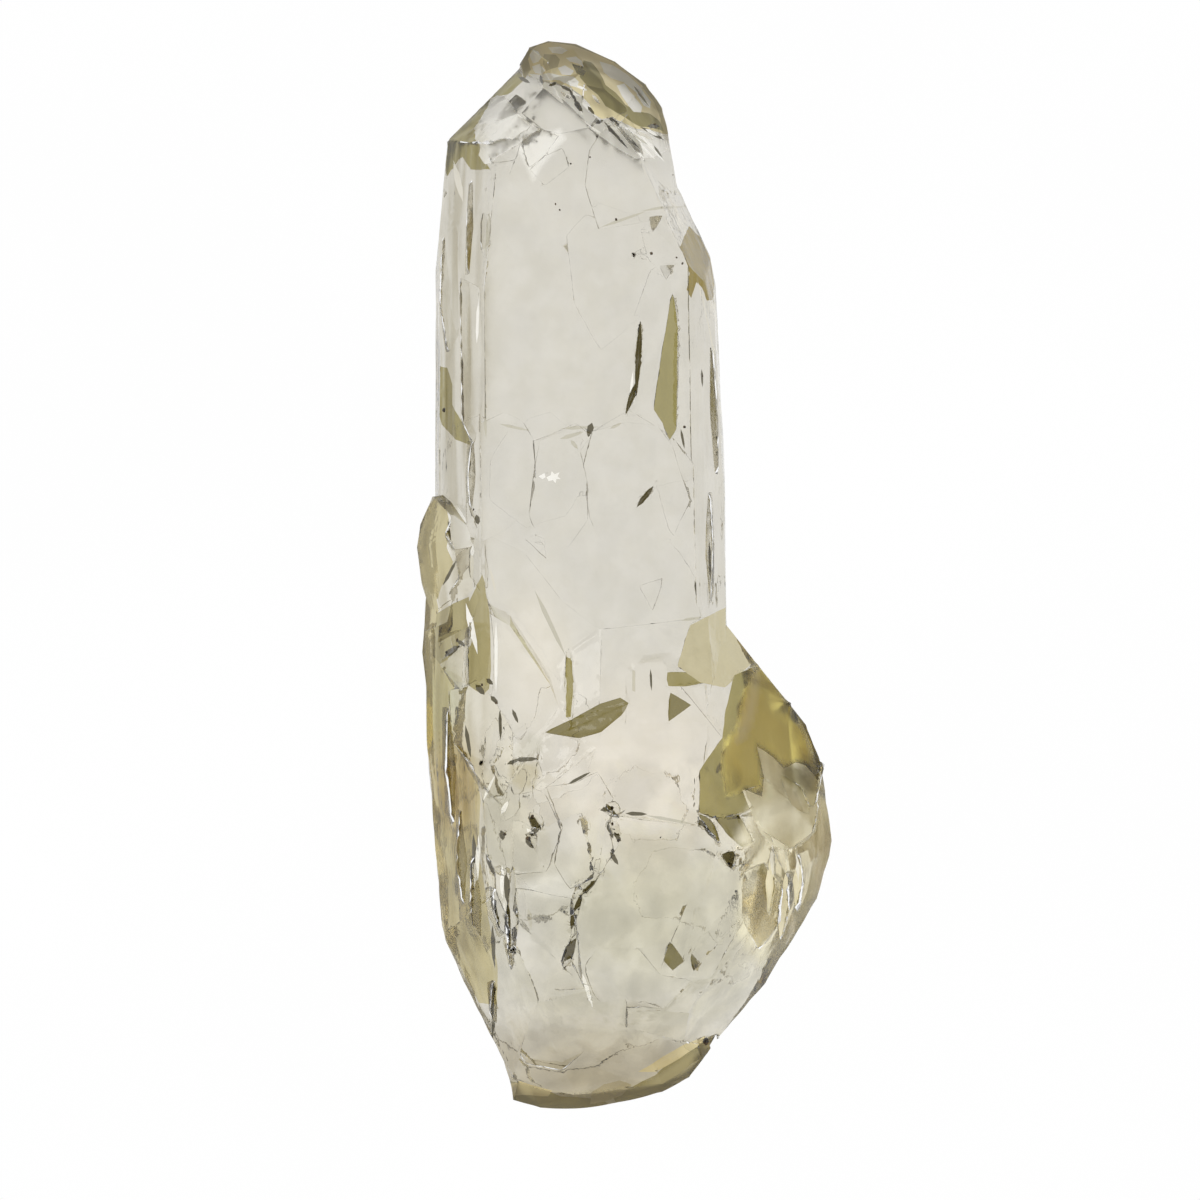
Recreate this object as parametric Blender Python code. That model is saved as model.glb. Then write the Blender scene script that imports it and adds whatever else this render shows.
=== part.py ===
"""A rough heliodor crystal, the golden-yellow kind of beryl, lying on one of its prism faces.

The crystal's long axis runs along Y, with its broken top end at +Y and its bottom end at -Y. The
side that is looked at points up (+Z), and the flat back face at Z = 0 is what it rests on.

The solid is made the way a crystal grows and breaks. Lobes with flat faces are cut out of blocks
and joined. Then chips with flat floors are broken out of the front and the back.
All sizes below are in millimetres, and all angles in degrees. A direction in plan is counted
anticlockwise from +X.
"""

import math
from typing import NamedTuple

import bmesh
import bpy
from mathutils import Matrix, Vector

MM = 0.001

# Heights of the main faces above the face that the crystal rests on
BACK = 0.0
PRISM_FRONT = 7.0
CAP_FRONT = 6.8
KNOB_FRONT = 6.2
COLUMN_FRONT = 7.5
TRUNK_FRONT = 8.2
SWELLING_FRONT = 8.0
LIP_FRONT = 4.4

# A prism face of beryl stands at 60 degrees to its neighbour, so it leans by 30
PRISM_LEAN = 30.0

# How far the blocks and the cutters reach past the crystal
CLEAR = 3.0
ABOVE = TRUNK_FRONT + CLEAR
BELOW = BACK - CLEAR
REST_BLOCK = ((-12.0, -25.0), (12.0, -25.0), (12.0, 25.0), (-12.0, 25.0))

# Points closer than this are one point
SNAP = 0.002

NAME = "heliodor_crystal"
COLOUR = (0.83, 0.79, 0.62, 1.0)
ROUGHNESS = 0.06
REFRACTION = 1.575


class Side(NamedTuple):
    """One side of a lobe, from this point of its outline to the next, anticlockwise.

    The leans say how far its face above the rim and its face below it turn in from upright.
    """

    x: float
    y: float
    upper_lean: float = PRISM_LEAN
    lower_lean: float = PRISM_LEAN


class Facet(NamedTuple):
    """A flat face through a point: where it looks in plan, and how far it looks up (90) or down."""

    x: float
    y: float
    z: float
    looks: float
    up: float


class Lobe(NamedTuple):
    """A convex part of the crystal.

    It has a front face, a back face, an upright rim between two heights, leaning sides above and
    below the rim, and facets that take off its corners.
    """

    front: float
    back: float
    rim_low: float
    rim_high: float
    sides: tuple[Side, ...]
    facets: tuple[Facet, ...] = ()


class Chip(NamedTuple):
    """A flat-floored chip: its outline, the height of its floor's shallow end, and its fall.

    The floor gets deeper in the direction that `towards` gives, by an angle of `fall`.
    """

    outline: tuple[tuple[float, float], ...]
    floor: float
    fall: float = 0.0
    towards: float = 0.0


class Groove(NamedTuple):
    """A slit with pointed ends: its two ends, its width in the middle, its floor and the fall."""

    start: tuple[float, float]
    end: tuple[float, float]
    width: float
    floor: float
    fall: float = 0.0
    towards: float = 0.0


LOBES = {
    "upper_prism": Lobe(
        PRISM_FRONT, BACK - 1.0, 2.6, 3.4,
        (
            Side(-7.5, -9.0, 0.0, 0.0),
            Side(4.12, -9.0, 2.0, 12.0),
            Side(4.0, 4.0, 4.0, 14.0),
            Side(3.62, 11.4, 10.0, 22.0),
            Side(3.42, 12.55, 16.0, 20.0),
            Side(1.0, 17.6, 22.0, 30.0),
            Side(-3.4, 20.67, 24.0, 38.0),
            Side(-7.0, 17.07),
            Side(-7.55, 11.3),
        ),
        (
            Facet(2.7, 0.0, PRISM_FRONT, 1.0, 30.0),
            Facet(2.5, 0.0, BACK, 1.0, -30.0),
            Facet(-7.3, 0.0, 3.9, 180.0, 8.0),
        ),
    ),
    "top_cap": Lobe(
        CAP_FRONT, BACK - 0.5, 2.9, 3.6,
        (
            Side(-4.2, 13.0, 0.0, 0.0),
            Side(2.45, 13.4, 12.0, 20.0),
            Side(1.75, 17.4, 24.0, 44.0),
            Side(1.52, 18.35, 30.0, 48.0),
            Side(0.86, 19.3, 31.0, 50.0),
            Side(-0.35, 20.2, 31.0, 50.0),
            Side(-1.9, 20.9, 28.0, 48.0),
            Side(-3.0, 21.0, 34.0, 42.0),
            Side(-3.75, 20.75, 38.0, 36.0),
            Side(-4.15, 20.1, 24.0, 30.0),
            Side(-4.2, 17.5, 10.0, 10.0),
        ),
        (
            Facet(-1.9, 20.0, 5.9, 80.0, 55.0),
            Facet(1.2, 18.6, 5.4, 40.0, 50.0),
            Facet(1.4, 16.0, 6.6, 20.0, 62.0),
        ),
    ),
    "left_knob": Lobe(
        KNOB_FRONT, 1.2, 3.2, 4.1,
        (
            Side(-7.6, -1.6, 20.0, 20.0),
            Side(-6.0, -1.4, 0.0, 0.0),
            Side(-6.0, 2.6, 20.0, 20.0),
            Side(-6.9, 3.2, 30.0, 30.0),
            Side(-7.55, 3.1, 34.0, 34.0),
            Side(-8.05, 2.0, 34.0, 34.0),
            Side(-8.2, 1.1, 36.0, 36.0),
            Side(-8.0, -0.3, 30.0, 30.0),
        ),
    ),
    "left_column": Lobe(
        COLUMN_FRONT, BACK - 0.7, 2.8, 3.8,
        (
            Side(-7.0, -12.0, 0.0, 0.0),
            Side(-2.3, -12.0, 6.0, 0.0),
            Side(-2.1, -5.6, 6.0, 0.0),
            Side(-2.2, -3.1, 16.0, 0.0),
            Side(-2.9, -1.3, 24.0, 0.0),
            Side(-4.4, 0.9, 34.0, 0.0),
            Side(-6.3, 2.0, 34.0, 20.0),
            Side(-7.75, 0.2, 31.0, 30.0),
            Side(-7.98, -3.0, 31.0, 30.0),
        ),
        (Facet(-4.6, 0.0, 7.3, 100.0, 78.0),),
    ),
    "trunk": Lobe(
        TRUNK_FRONT, BACK - 0.4, 3.0, 4.2,
        (
            Side(-7.24, -13.7, 24.0, 32.0),
            Side(-6.95, -14.9, 24.0, 32.0),
            Side(-5.35, -18.0, 34.0, 34.0),
            Side(-4.5, -19.8, 42.0, 16.0),
            Side(-2.0, -20.4, 46.0, 14.0),
            Side(1.5, -20.0, 46.0, 14.0),
            Side(3.3, -18.8, 38.0, 22.0),
            Side(4.6, -15.4, 30.0, 20.0),
            Side(5.2, -9.6, 20.0, 10.0),
            Side(4.3, -3.6, 20.0, 10.0),
            Side(3.9, -1.4, 0.0, 0.0),
            Side(-3.2, -0.2, 0.0, 0.0),
            Side(-7.84, -2.2, 31.0, 30.0),
            Side(-7.8, -7.0, 30.0, 31.0),
            Side(-7.42, -11.5, 30.0, 32.0),
        ),
        (
            Facet(0.0, -1.8, PRISM_FRONT, 92.0, 76.0),
            Facet(-3.2, -5.6, COLUMN_FRONT, 128.0, 72.0),
            Facet(0.0, -16.2, TRUNK_FRONT, 268.0, 72.0),
            Facet(-2.6, -15.4, TRUNK_FRONT, 232.0, 70.0),
        ),
    ),
    "right_swelling": Lobe(
        SWELLING_FRONT, BACK - 0.9, 3.6, 4.3,
        (
            Side(0.0, -17.6, 0.0, 0.0),
            Side(3.4, -18.5, 28.0, 58.0),
            Side(5.55, -16.0, 28.0, 60.0),
            Side(6.8, -14.1, 27.0, 60.0),
            Side(7.6, -12.7, 26.0, 58.0),
            Side(8.1, -11.0, 26.0, 54.0),
            Side(8.2, -10.4, 34.0, 50.0),
            Side(7.95, -8.4, 37.0, 43.0),
            Side(7.75, -7.2, 38.0, 43.0),
            Side(7.15, -5.85, 38.0, 43.0),
            Side(3.6, -1.42, 24.0, 10.0),
            Side(2.0, -1.6, 0.0, 0.0),
            Side(0.0, -4.0, 0.0, 0.0),
        ),
        (
            Facet(3.0, -12.0, SWELLING_FRONT, 345.0, 79.0),
            Facet(6.2, -12.8, 6.9, 335.0, 58.0),
            Facet(3.6, -15.4, 7.8, 300.0, 66.0),
        ),
    ),
    "bottom_lip": Lobe(
        LIP_FRONT, 0.5, 2.0, 3.0,
        (
            Side(-4.95, -18.6, 30.0, 30.0),
            Side(-4.4, -20.65, 52.0, 36.0),
            Side(-3.3, -21.0, 58.0, 40.0),
            Side(-1.9, -21.0, 55.0, 42.0),
            Side(-0.2, -20.75, 55.0, 42.0),
            Side(1.5, -20.35, 50.0, 42.0),
            Side(2.6, -19.8, 46.0, 40.0),
            Side(3.45, -18.6, 20.0, 30.0),
            Side(3.2, -17.4, 0.0, 0.0),
            Side(-4.2, -17.0, 0.0, 0.0),
        ),
    ),
}

FRONT_CHIPS = {
    "top_smooth_plane": Chip(
        ((-1.35, 17.47), (-1.82, 18.25), (-2.53, 19.04), (-3.31, 19.73), (-4.1, 19.6),
         (-4.6, 18.76), (-4.1, 18.1), (-3.12, 17.35), (-2.53, 17.2)),
        6.95, 14.0, 112.0,
    ),
    "cap_ledge": Chip(
        ((-0.96, 13.47), (0.8, 13.78), (2.57, 14.14), (3.4, 14.3), (2.6, 18.0), (-0.6, 17.6),
         (-1.3, 16.6), (-1.5, 15.2)),
        6.72, 1.5, 60.0,
    ),
    "cap_break_left": Chip(
        ((-3.3, 19.55), (-2.5, 19.1), (-1.9, 19.5), (-1.5, 20.2), (-2.4, 20.9), (-3.4, 20.8)),
        5.7, 22.0, 20.0,
    ),
    "cap_break_middle": Chip(
        ((-1.6, 18.3), (-0.9, 17.7), (0.2, 18.2), (0.4, 19.2), (-0.5, 19.8), (-1.5, 19.4)),
        6.4, 34.0, 60.0,
    ),
    "cap_break_right": Chip(
        ((-0.2, 17.5), (1.7, 17.0), (2.4, 17.6), (1.4, 18.6), (0.3, 18.2)),
        6.3, 36.0, 40.0,
    ),
    "cap_feather": Chip(
        ((-0.8, 17.5), (0.2, 17.4), (1.7, 16.9), (2.3, 16.2), (1.2, 15.9), (0.0, 16.9)),
        6.55, 9.0, 300.0,
    ),
    "hackle_middle": Chip(
        ((-5.65, 17.2), (-5.2, 17.75), (-4.3, 17.95), (-3.7, 17.5), (-4.4, 17.0), (-5.2, 16.8)),
        6.8, 24.0, 120.0,
    ),
    "hackle_lower": Chip(
        ((-5.5, 16.75), (-4.7, 17.0), (-4.1, 16.9), (-4.3, 16.2), (-5.1, 16.1)),
        6.8, 26.0, 200.0,
    ),
    "fracture_step_one": Chip(
        ((-3.95, 16.9), (-3.3, 17.35), (-2.6, 17.1), (-3.2, 16.3), (-3.7, 15.9)),
        6.9, 12.0, 40.0,
    ),
    "fracture_step_two": Chip(
        ((-3.65, 15.8), (-3.1, 16.3), (-2.45, 16.6), (-2.2, 15.9), (-3.1, 15.2)),
        6.9, 10.0, 140.0,
    ),
    "left_strip_spot": Chip(
        ((-5.55, 14.1), (-5.25, 14.0), (-5.3, 12.9), (-5.55, 12.7)),
        6.85, 62.0, 180.0,
    ),
    "left_strip_step": Chip(
        ((-6.4, 11.6), (-5.7, 11.2), (-5.5, 7.4), (-5.9, 5.2), (-6.3, 6.0)),
        6.45, 56.0, 180.0,
    ),
    "left_strip_flake": Chip(
        ((-7.1, 14.2), (-6.6, 13.6), (-6.5, 9.4), (-6.9, 8.8), (-7.2, 10.6)),
        4.6, 52.0, 180.0,
    ),
    "pit_one": Chip(((0.98, 13.95), (1.45, 14.0), (1.1, 13.4)), 6.6, 30.0, 250.0),
    "pit_two": Chip(((1.4, 12.05), (1.85, 12.05), (1.62, 11.55)), 6.75, 35.0, 270.0),
    "pit_three": Chip(((0.27, 12.57), (0.42, 12.55), (0.36, 12.36)), 6.2),
    "shell_edge": Chip(
        ((-5.9, 5.75), (-4.9, 5.5), (-3.6, 5.2), (-2.9, 5.45), (-1.9, 5.9), (-1.3, 5.55),
         (0.15, 6.4), (1.2, 5.8), (1.9, 5.3), (3.2, 3.6), (3.3, -1.6), (-1.0, -2.1), (-2.4, -1.0),
         (-3.9, 0.9), (-6.0, 1.9)),
        6.9, 0.5, 270.0,
    ),
    "kite": Chip(
        ((2.1, -3.55), (2.57, -1.94), (4.3, -1.1), (5.4, -3.1), (3.94, -4.35), (2.96, -4.15)),
        7.2, 30.0, 35.0,
    ),
    "swelling_hollow": Chip(
        ((4.3, -3.9), (3.95, -5.4), (3.85, -6.3), (2.95, -7.6), (2.95, -9.2), (3.7, -9.4),
         (4.6, -9.2), (5.6, -8.6), (7.4, -9.0), (8.0, -6.0), (5.6, -3.4)),
        7.0, 30.0, 30.0,
    ),
    "swelling_ledge": Chip(
        ((5.2, -6.84), (5.39, -8.22), (4.73, -8.41), (5.51, -9.98), (6.49, -10.6), (7.35, -10.0),
         (7.67, -8.41), (6.88, -7.63)),
        5.5, 12.0, 350.0,
    ),
    "swelling_nick": Chip(((6.1, -7.8), (6.9, -8.3), (7.2, -9.3), (6.6, -9.0)), 5.1, 40.0, 40.0),
    "swelling_pit": Chip(((3.85, -10.85), (4.2, -10.75), (4.15, -11.35)), 7.3, 30.0, 270.0),
    "break_line": Chip(
        ((-0.49, -9.39), (0.9, -9.55), (2.96, -9.75), (4.3, -10.9), (5.2, -14.2), (2.0, -16.8),
         (-1.6, -15.8), (-1.95, -12.4), (-0.9, -11.6), (-0.2, -10.5)),
        8.1, 1.4, 80.0,
    ),
    "speck_one": Chip(((-0.62, -8.9), (-0.4, -8.85), (-0.25, -9.2), (-0.5, -9.3)), 7.5, 30.0, 0.0),
    "speck_two": Chip(
        ((-0.55, -9.65), (-0.35, -9.6), (-0.2, -10.1), (-0.45, -10.0)),
        7.5, 30.0, 90.0,
    ),
    "lower_pit_one": Chip(
        ((-3.65, -9.25), (-3.3, -9.3), (-3.25, -9.8), (-3.55, -9.7)),
        7.8, 35.0, 50.0,
    ),
    "lower_pit_two": Chip(((-3.75, -10.1), (-3.55, -10.0), (-3.45, -10.6)), 7.7, 30.0, 240.0),
    "column_shard_upper": Chip(
        ((-6.06, 0.33), (-6.76, -0.57), (-7.39, -1.55), (-7.35, -2.65), (-6.06, -1.94),
         (-5.75, -0.96)),
        6.2, 32.0, 190.0,
    ),
    "column_shard_lower": Chip(
        ((-6.33, -2.73), (-7.31, -3.43), (-7.04, -3.71), (-6.37, -4.49)),
        5.8, 28.0, 190.0,
    ),
    "column_shard_long": Chip(
        ((-6.84, -4.49), (-6.3, -4.4), (-5.75, -4.1), (-5.08, -4.88), (-4.41, -6.06),
         (-4.41, -7.63), (-4.88, -8.8), (-5.27, -8.41), (-6.06, -7.24), (-6.76, -6.45)),
        7.2, 26.0, 170.0,
    ),
    "column_stripe": Chip(
        ((-5.63, 0.06), (-5.27, -1.35), (-5.12, -2.92), (-5.16, -4.57), (-5.59, -4.88),
         (-6.06, -4.18), (-6.1, -3.12), (-5.98, -1.94), (-6.14, -1.08)),
        7.2, 46.0, 180.0,
    ),
    "blade": Chip(
        ((1.86, 10.92), (2.02, 9.63), (1.98, 5.71), (1.75, 5.31), (1.51, 5.94), (1.16, 6.45),
         (1.39, 8.06)),
        6.88, 14.0, 0.0,
    ),
    "lens": Chip(
        ((-3.08, -6.1), (-1.94, -5.55), (-0.96, -5.0), (-0.18, -4.76), (0.14, -4.96),
         (-0.14, -5.43), (-0.92, -6.06), (-1.78, -6.29), (-2.49, -6.18)),
        7.88, 23.0, 120.0,
    ),
    "ramp_slit": Chip(
        ((1.67, -3.78), (2.57, -3.78), (3.2, -4.14), (2.37, -4.29), (1.71, -4.29)),
        7.9, 31.0, 40.0,
    ),
    "ramp_triangle": Chip(((1.78, -4.57), (2.57, -5.04), (1.71, -5.67)), 7.92, 14.0, 200.0),
    "swelling_quad": Chip(
        ((3.59, -9.39), (4.41, -9.31), (4.96, -10.37), (4.57, -10.53), (4.06, -10.1)),
        7.9, 20.0, 345.0,
    ),
    "swelling_dart": Chip(((2.92, -9.31), (3.27, -9.51), (3.63, -10.33)), 7.95, 28.0, 20.0),
    "diamond": Chip(
        ((1.75, -14.29), (2.25, -14.96), (1.86, -15.31), (1.55, -14.96)),
        7.85, 25.0, 325.0,
    ),
    "small_diamond": Chip(((2.61, -14.73), (2.84, -15.16), (2.69, -15.35)), 7.75, 20.0, 345.0),
    "cap_bowl": Chip(
        ((-3.12, 20.61), (-1.94, 20.76), (-0.49, 19.98), (-0.1, 19.2), (-0.84, 19.04),
         (-1.82, 19.27), (-2.8, 19.43)),
        5.6, 48.0, 80.0,
    ),
    "hackle_upper": Chip(
        ((-5.43, 17.98), (-4.88, 18.61), (-4.29, 18.84), (-3.86, 18.49), (-4.18, 18.02),
         (-4.88, 17.78)),
        5.1, 15.0, 135.0,
    ),
    "lip_notch": Chip(((2.9, -18.2), (3.6, -18.0), (3.7, -19.2), (3.2, -19.3)), 3.6, 20.0, 300.0),
    "scallop_left": Chip(
        ((-6.14, 5.27), (-5.67, 5.86), (-4.69, 6.33), (-4.02, 6.02), (-3.59, 5.27),
         (-3.51, 3.75), (-3.75, 2.53), (-4.69, 1.75), (-5.71, 1.24), (-6.18, 2.18), (-6.25, 4.14)),
        6.87, 2.5, 150.0,
    ),
    "scallop_middle": Chip(
        ((-3.27, 5.24), (-2.69, 5.55), (-1.82, 5.82), (-1.35, 5.43), (-1.78, 4.84),
         (-1.51, 3.71), (-1.47, 2.14), (-2.18, 1.16), (-3.08, 0.96), (-3.67, 2.33), (-3.47, 4.14)),
        6.86, 2.2, 40.0,
    ),
    "scallop_right": Chip(
        ((-1.2, 5.59), (0.06, 5.94), (1.24, 5.82), (1.82, 5.04), (2.49, 2.92), (1.43, 0.57),
         (-0.53, 0.37), (-1.31, 2.22), (-1.63, 4.1)),
        6.88, 1.2, 80.0,
    ),
    "knob_scallop": Chip(
        ((-6.88, 2.8), (-6.73, 2.18), (-6.96, 1.59), (-6.61, 1.04), (-6.02, 1.12), (-5.78, 1.82),
         (-6.1, 2.84)),
        5.9, 18.0, 170.0,
    ),
    "cell": Chip(
        ((-4.61, -6.41), (-3.94, -6.06), (-3.31, -6.61), (-3.43, -7.2), (-3.24, -7.82),
         (-3.59, -8.37), (-4.29, -8.45), (-4.57, -7.86)),
        7.95, 7.0, 90.0,
    ),
    "rough_left": Chip(
        ((-5.51, -8.49), (-4.65, -7.71), (-3.12, -8.49), (-2.57, -9.9), (-3.08, -11.47),
         (-4.84, -11.59), (-5.71, -10.45)),
        8.12, 5.0, 180.0,
    ),
    "rough_middle": Chip(
        ((-3.0, -8.22), (-1.94, -8.14), (-1.08, -7.67), (-0.53, -8.69), (-0.69, -9.67),
         (-0.41, -11.08), (-1.12, -11.67), (-2.1, -12.1), (-2.69, -11.2), (-2.33, -9.78)),
        8.13, 3.0, 20.0,
    ),
    "low_panel": Chip(
        ((-4.18, -12.18), (-2.1, -12.57), (-1.98, -13.94), (-2.18, -14.96), (-1.59, -16.02),
         (-4.76, -16.14), (-4.33, -15.0)),
        8.05, 2.5, 200.0,
    ),
    "low_ledge": Chip(
        ((-1.43, -15.16), (-0.8, -14.22), (0.49, -14.57), (1.39, -15.55), (3.04, -15.9),
         (2.49, -16.96), (0.69, -16.69), (-0.8, -16.76), (-1.2, -16.14)),
        8.1, 9.0, 270.0,
    ),
    "end_shell_left": Chip(
        ((-4.14, -16.88), (-2.29, -16.37), (-1.27, -17.12), (-1.43, -18.45), (-2.49, -19.31),
         (-3.82, -19.04), (-4.57, -17.98)),
        8.1, 46.5, 262.0,
    ),
    "end_shell_right": Chip(
        ((-0.8, -17.39), (0.92, -16.88), (2.73, -17.08), (2.92, -17.82), (1.55, -18.57),
         (-0.33, -18.96)),
        7.9, 46.5, 285.0,
    ),
    "swelling_flake": Chip(
        ((4.69, -11.59), (5.39, -11.24), (6.1, -12.1), (5.98, -13.82), (5.27, -14.53),
         (4.61, -13.27)),
        6.9, 24.0, 338.0,
    ),
}

GROOVES = {
    "long_crack_upper": Groove((0.62, 9.9), (0.44, 7.0), 0.2, 5.9),
    "long_crack_lower": Groove((0.5, 7.6), (0.05, 6.3), 0.2, 6.1),
    "needle_crack": Groove((0.47, 2.65), (1.12, 3.48), 0.16, 6.2),
    "column_groove": Groove((-2.2, -2.9), (-2.1, -5.9), 0.3, 6.7),
    "arc_slit_upper": Groove((-0.95, -11.55), (-2.0, -12.5), 0.24, 7.3),
    "arc_slit_middle": Groove((-1.8, -12.1), (-2.05, -13.6), 0.2, 7.4),
    "arc_slit_lower": Groove((-1.9, -13.9), (-2.35, -15.2), 0.2, 7.5),
    "edge_slot_short": Groove((-5.05, -12.2), (-4.75, -13.9), 0.28, 6.6),
    "edge_slot_long": Groove((-4.35, -11.4), (-4.42, -15.3), 0.3, 6.9),
    "edge_slot_low": Groove((-5.15, -15.9), (-5.15, -18.0), 0.2, 4.8),
    "swelling_streak_one": Groove((5.75, -10.7), (5.6, -13.2), 0.26, 5.9),
    "swelling_streak_two": Groove((6.3, -11.6), (6.1, -14.2), 0.3, 5.2),
    "swelling_streak_three": Groove((6.8, -10.9), (6.75, -13.0), 0.26, 4.9),
    "left_streak_one": Groove((-6.0, 15.4), (-6.1, 11.8), 0.22, 5.3),
    "left_streak_two": Groove((-5.95, 5.2), (-6.0, 2.6), 0.22, 5.4),
    "left_streak_three": Groove((-6.9, -5.2), (-6.7, -9.6), 0.24, 4.9),
    "left_streak_four": Groove((-6.4, -9.2), (-6.3, -12.8), 0.26, 5.6),
    "left_streak_five": Groove((-5.9, -11.0), (-5.7, -15.0), 0.26, 6.2),
    "right_streak_one": Groove((3.4, 8.9), (3.6, 4.0), 0.2, 5.0),
    "right_streak_two": Groove((3.3, 3.2), (3.35, -1.0), 0.2, 5.4),
}

BACK_CHIPS = {
    "hollow_edge": Chip(
        ((2.95, -7.6), (3.85, -6.3), (3.95, -5.4), (4.6, -4.4), (6.4, -5.0), (6.4, -8.6),
         (4.7, -9.2), (2.95, -9.3)),
        0.02, 44.0, 15.0,
    ),
    "left_break_upper": Chip(
        ((-5.9, 3.2), (-9.0, 3.6), (-9.0, -2.0), (-5.8, -2.4), (-5.4, 0.2)),
        0.02, 32.0, 178.0,
    ),
    "left_break_middle": Chip(
        ((-5.1, -2.2), (-9.0, -1.8), (-9.0, -8.0), (-5.6, -8.2), (-5.3, -5.0)),
        0.02, 26.0, 184.0,
    ),
    "left_break_lower": Chip(
        ((-5.5, -8.0), (-9.0, -7.6), (-9.0, -16.0), (-4.9, -15.2), (-4.8, -11.0)),
        0.02, 20.0, 190.0,
    ),
    "shard_one": Chip(
        ((-3.3, -4.4), (-2.1, -4.9), (-1.0, -5.5), (-1.3, -7.3), (-1.9, -8.4), (-3.2, -8.8),
         (-3.8, -7.6), (-3.5, -6.0)),
        0.02, 9.0, 240.0,
    ),
    "shard_two": Chip(
        ((-4.2, -9.6), (-3.1, -9.9), (-2.0, -9.3), (-1.6, -10.8), (-1.2, -12.2), (-2.3, -12.9),
         (-3.5, -13.7), (-3.9, -11.6)),
        0.02, 12.0, 150.0,
    ),
    "shard_three": Chip(
        ((1.1, -11.0), (2.4, -10.7), (3.8, -11.8), (3.6, -12.7), (3.2, -14.1), (1.9, -13.6),
         (0.8, -13.4), (0.6, -12.2)),
        0.02, 8.0, 300.0,
    ),
    "shard_four": Chip(
        ((-4.4, -6.4), (-3.9, -5.8), (-3.6, -6.4), (-3.9, -7.8), (-3.8, -9.0), (-4.6, -9.4)),
        0.02, 22.0, 200.0,
    ),
    "bottom_break": Chip(
        ((-4.2, -17.4), (-1.6, -17.9), (0.6, -16.6), (2.2, -17.6), (4.2, -18.0), (4.0, -22.0),
         (-6.0, -22.0)),
        0.02, 6.0, 268.0,
    ),
    "back_shell_high": Chip(
        ((-5.1, 4.6), (-4.2, 6.0), (-2.9, 6.4), (-1.7, 5.3), (-1.5, 3.7), (-2.4, 2.3), (-3.9, 1.9),
         (-5.2, 2.9)),
        0.02, 4.5, 60.0,
    ),
    "back_shell_low": Chip(
        ((-0.7, -8.2), (0.4, -7.4), (1.7, -7.8), (2.5, -9.0), (2.0, -10.3), (0.3, -10.6),
         (-0.9, -9.7)),
        0.02, 6.0, 230.0,
    ),
    "pit_back_one": Chip(((-3.9, 1.4), (-3.4, 1.7), (-3.1, 0.7)), 0.2, 8.0, 90.0),
    "pit_back_two": Chip(((0.6, -0.4), (1.5, -0.1), (1.1, -1.3)), 0.2, 9.0, 200.0),
    "back_flake_high": Chip(
        ((-2.2, 13.4), (-1.1, 14.6), (0.4, 14.1), (1.0, 12.2), (0.2, 9.8), (-0.9, 8.9),
         (-1.9, 10.7)),
        0.02, 2.4, 70.0,
    ),
    "back_flake_right": Chip(
        ((1.4, 3.4), (2.9, 4.1), (4.6, 3.2), (4.4, 0.4), (2.7, -0.9), (1.9, 1.2)),
        0.02, 7.0, 355.0,
    ),
}

def facing(looks, up):
    """The direction that looks one way in plan and so many degrees up."""
    plan = math.radians(looks)
    rise = math.radians(up)
    level = math.cos(rise)
    return Vector((level * math.cos(plan), level * math.sin(plan), math.sin(rise)))


def cut_away(mesh, point, normal):
    """Cuts off what lies past a plane, and closes the body again with one flat face."""
    everything = mesh.verts[:] + mesh.edges[:] + mesh.faces[:]
    cut = bmesh.ops.bisect_plane(
        mesh, geom=everything, dist=SNAP, plane_co=point, plane_no=normal, clear_outer=True
    )
    rim = [item for item in cut["geom_cut"] if isinstance(item, bmesh.types.BMEdge)]
    if rim:
        bmesh.ops.contextual_create(mesh, geom=rim)


def prism_over(outline, low, high):
    """An upright prism over an outline, from one height to another."""
    mesh = bmesh.new()
    base = mesh.faces.new([mesh.verts.new((x, y, low)) for x, y in outline])
    raised = bmesh.ops.extrude_face_region(mesh, geom=[base])["geom"]
    top = [item for item in raised if isinstance(item, bmesh.types.BMVert)]
    bmesh.ops.translate(mesh, vec=(0.0, 0.0, high - low), verts=top)
    bmesh.ops.recalc_face_normals(mesh, faces=mesh.faces)
    return mesh


def lobe_mesh(lobe):
    """A block as large as the lobe, cut along the faces of every side and along its facets."""
    xs = [side.x for side in lobe.sides]
    ys = [side.y for side in lobe.sides]
    left, right = min(xs) - CLEAR, max(xs) + CLEAR
    low, high = min(ys) - CLEAR, max(ys) + CLEAR
    block = ((left, low), (right, low), (right, high), (left, high))
    mesh = prism_over(block, lobe.back, lobe.front)
    for side, following in zip(lobe.sides, lobe.sides[1:] + lobe.sides[:1]):
        outward = math.degrees(math.atan2(side.x - following.x, following.y - side.y))
        for height, up in (
            (lobe.rim_high, side.upper_lean),
            (lobe.rim_high, 0.0),
            (lobe.rim_low, -side.lower_lean),
        ):
            cut_away(mesh, (side.x, side.y, height), facing(outward, up))
    for facet in lobe.facets:
        cut_away(mesh, (facet.x, facet.y, facet.z), facing(facet.looks, facet.up))
    bmesh.ops.remove_doubles(mesh, verts=mesh.verts, dist=SNAP)
    corners = [corner.co.copy() for corner in mesh.verts]
    mesh.clear()
    for corner in corners:
        mesh.verts.new(corner)
    bmesh.ops.convex_hull(mesh, input=mesh.verts)
    return mesh


def chip_mesh(chip, from_front):
    """The piece that breaks out: a prism over the chip's outline, cut off at its floor."""
    mesh = prism_over(chip.outline, BELOW, ABOVE)
    ahead = facing(chip.towards, 0.0)
    x, y = min(chip.outline, key=lambda corner: ahead.dot((*corner, 0.0)))
    past_floor = facing(chip.towards + 180.0, chip.fall - 90.0 if from_front else 90.0 - chip.fall)
    cut_away(mesh, (x, y, chip.floor), past_floor)
    return mesh


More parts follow.
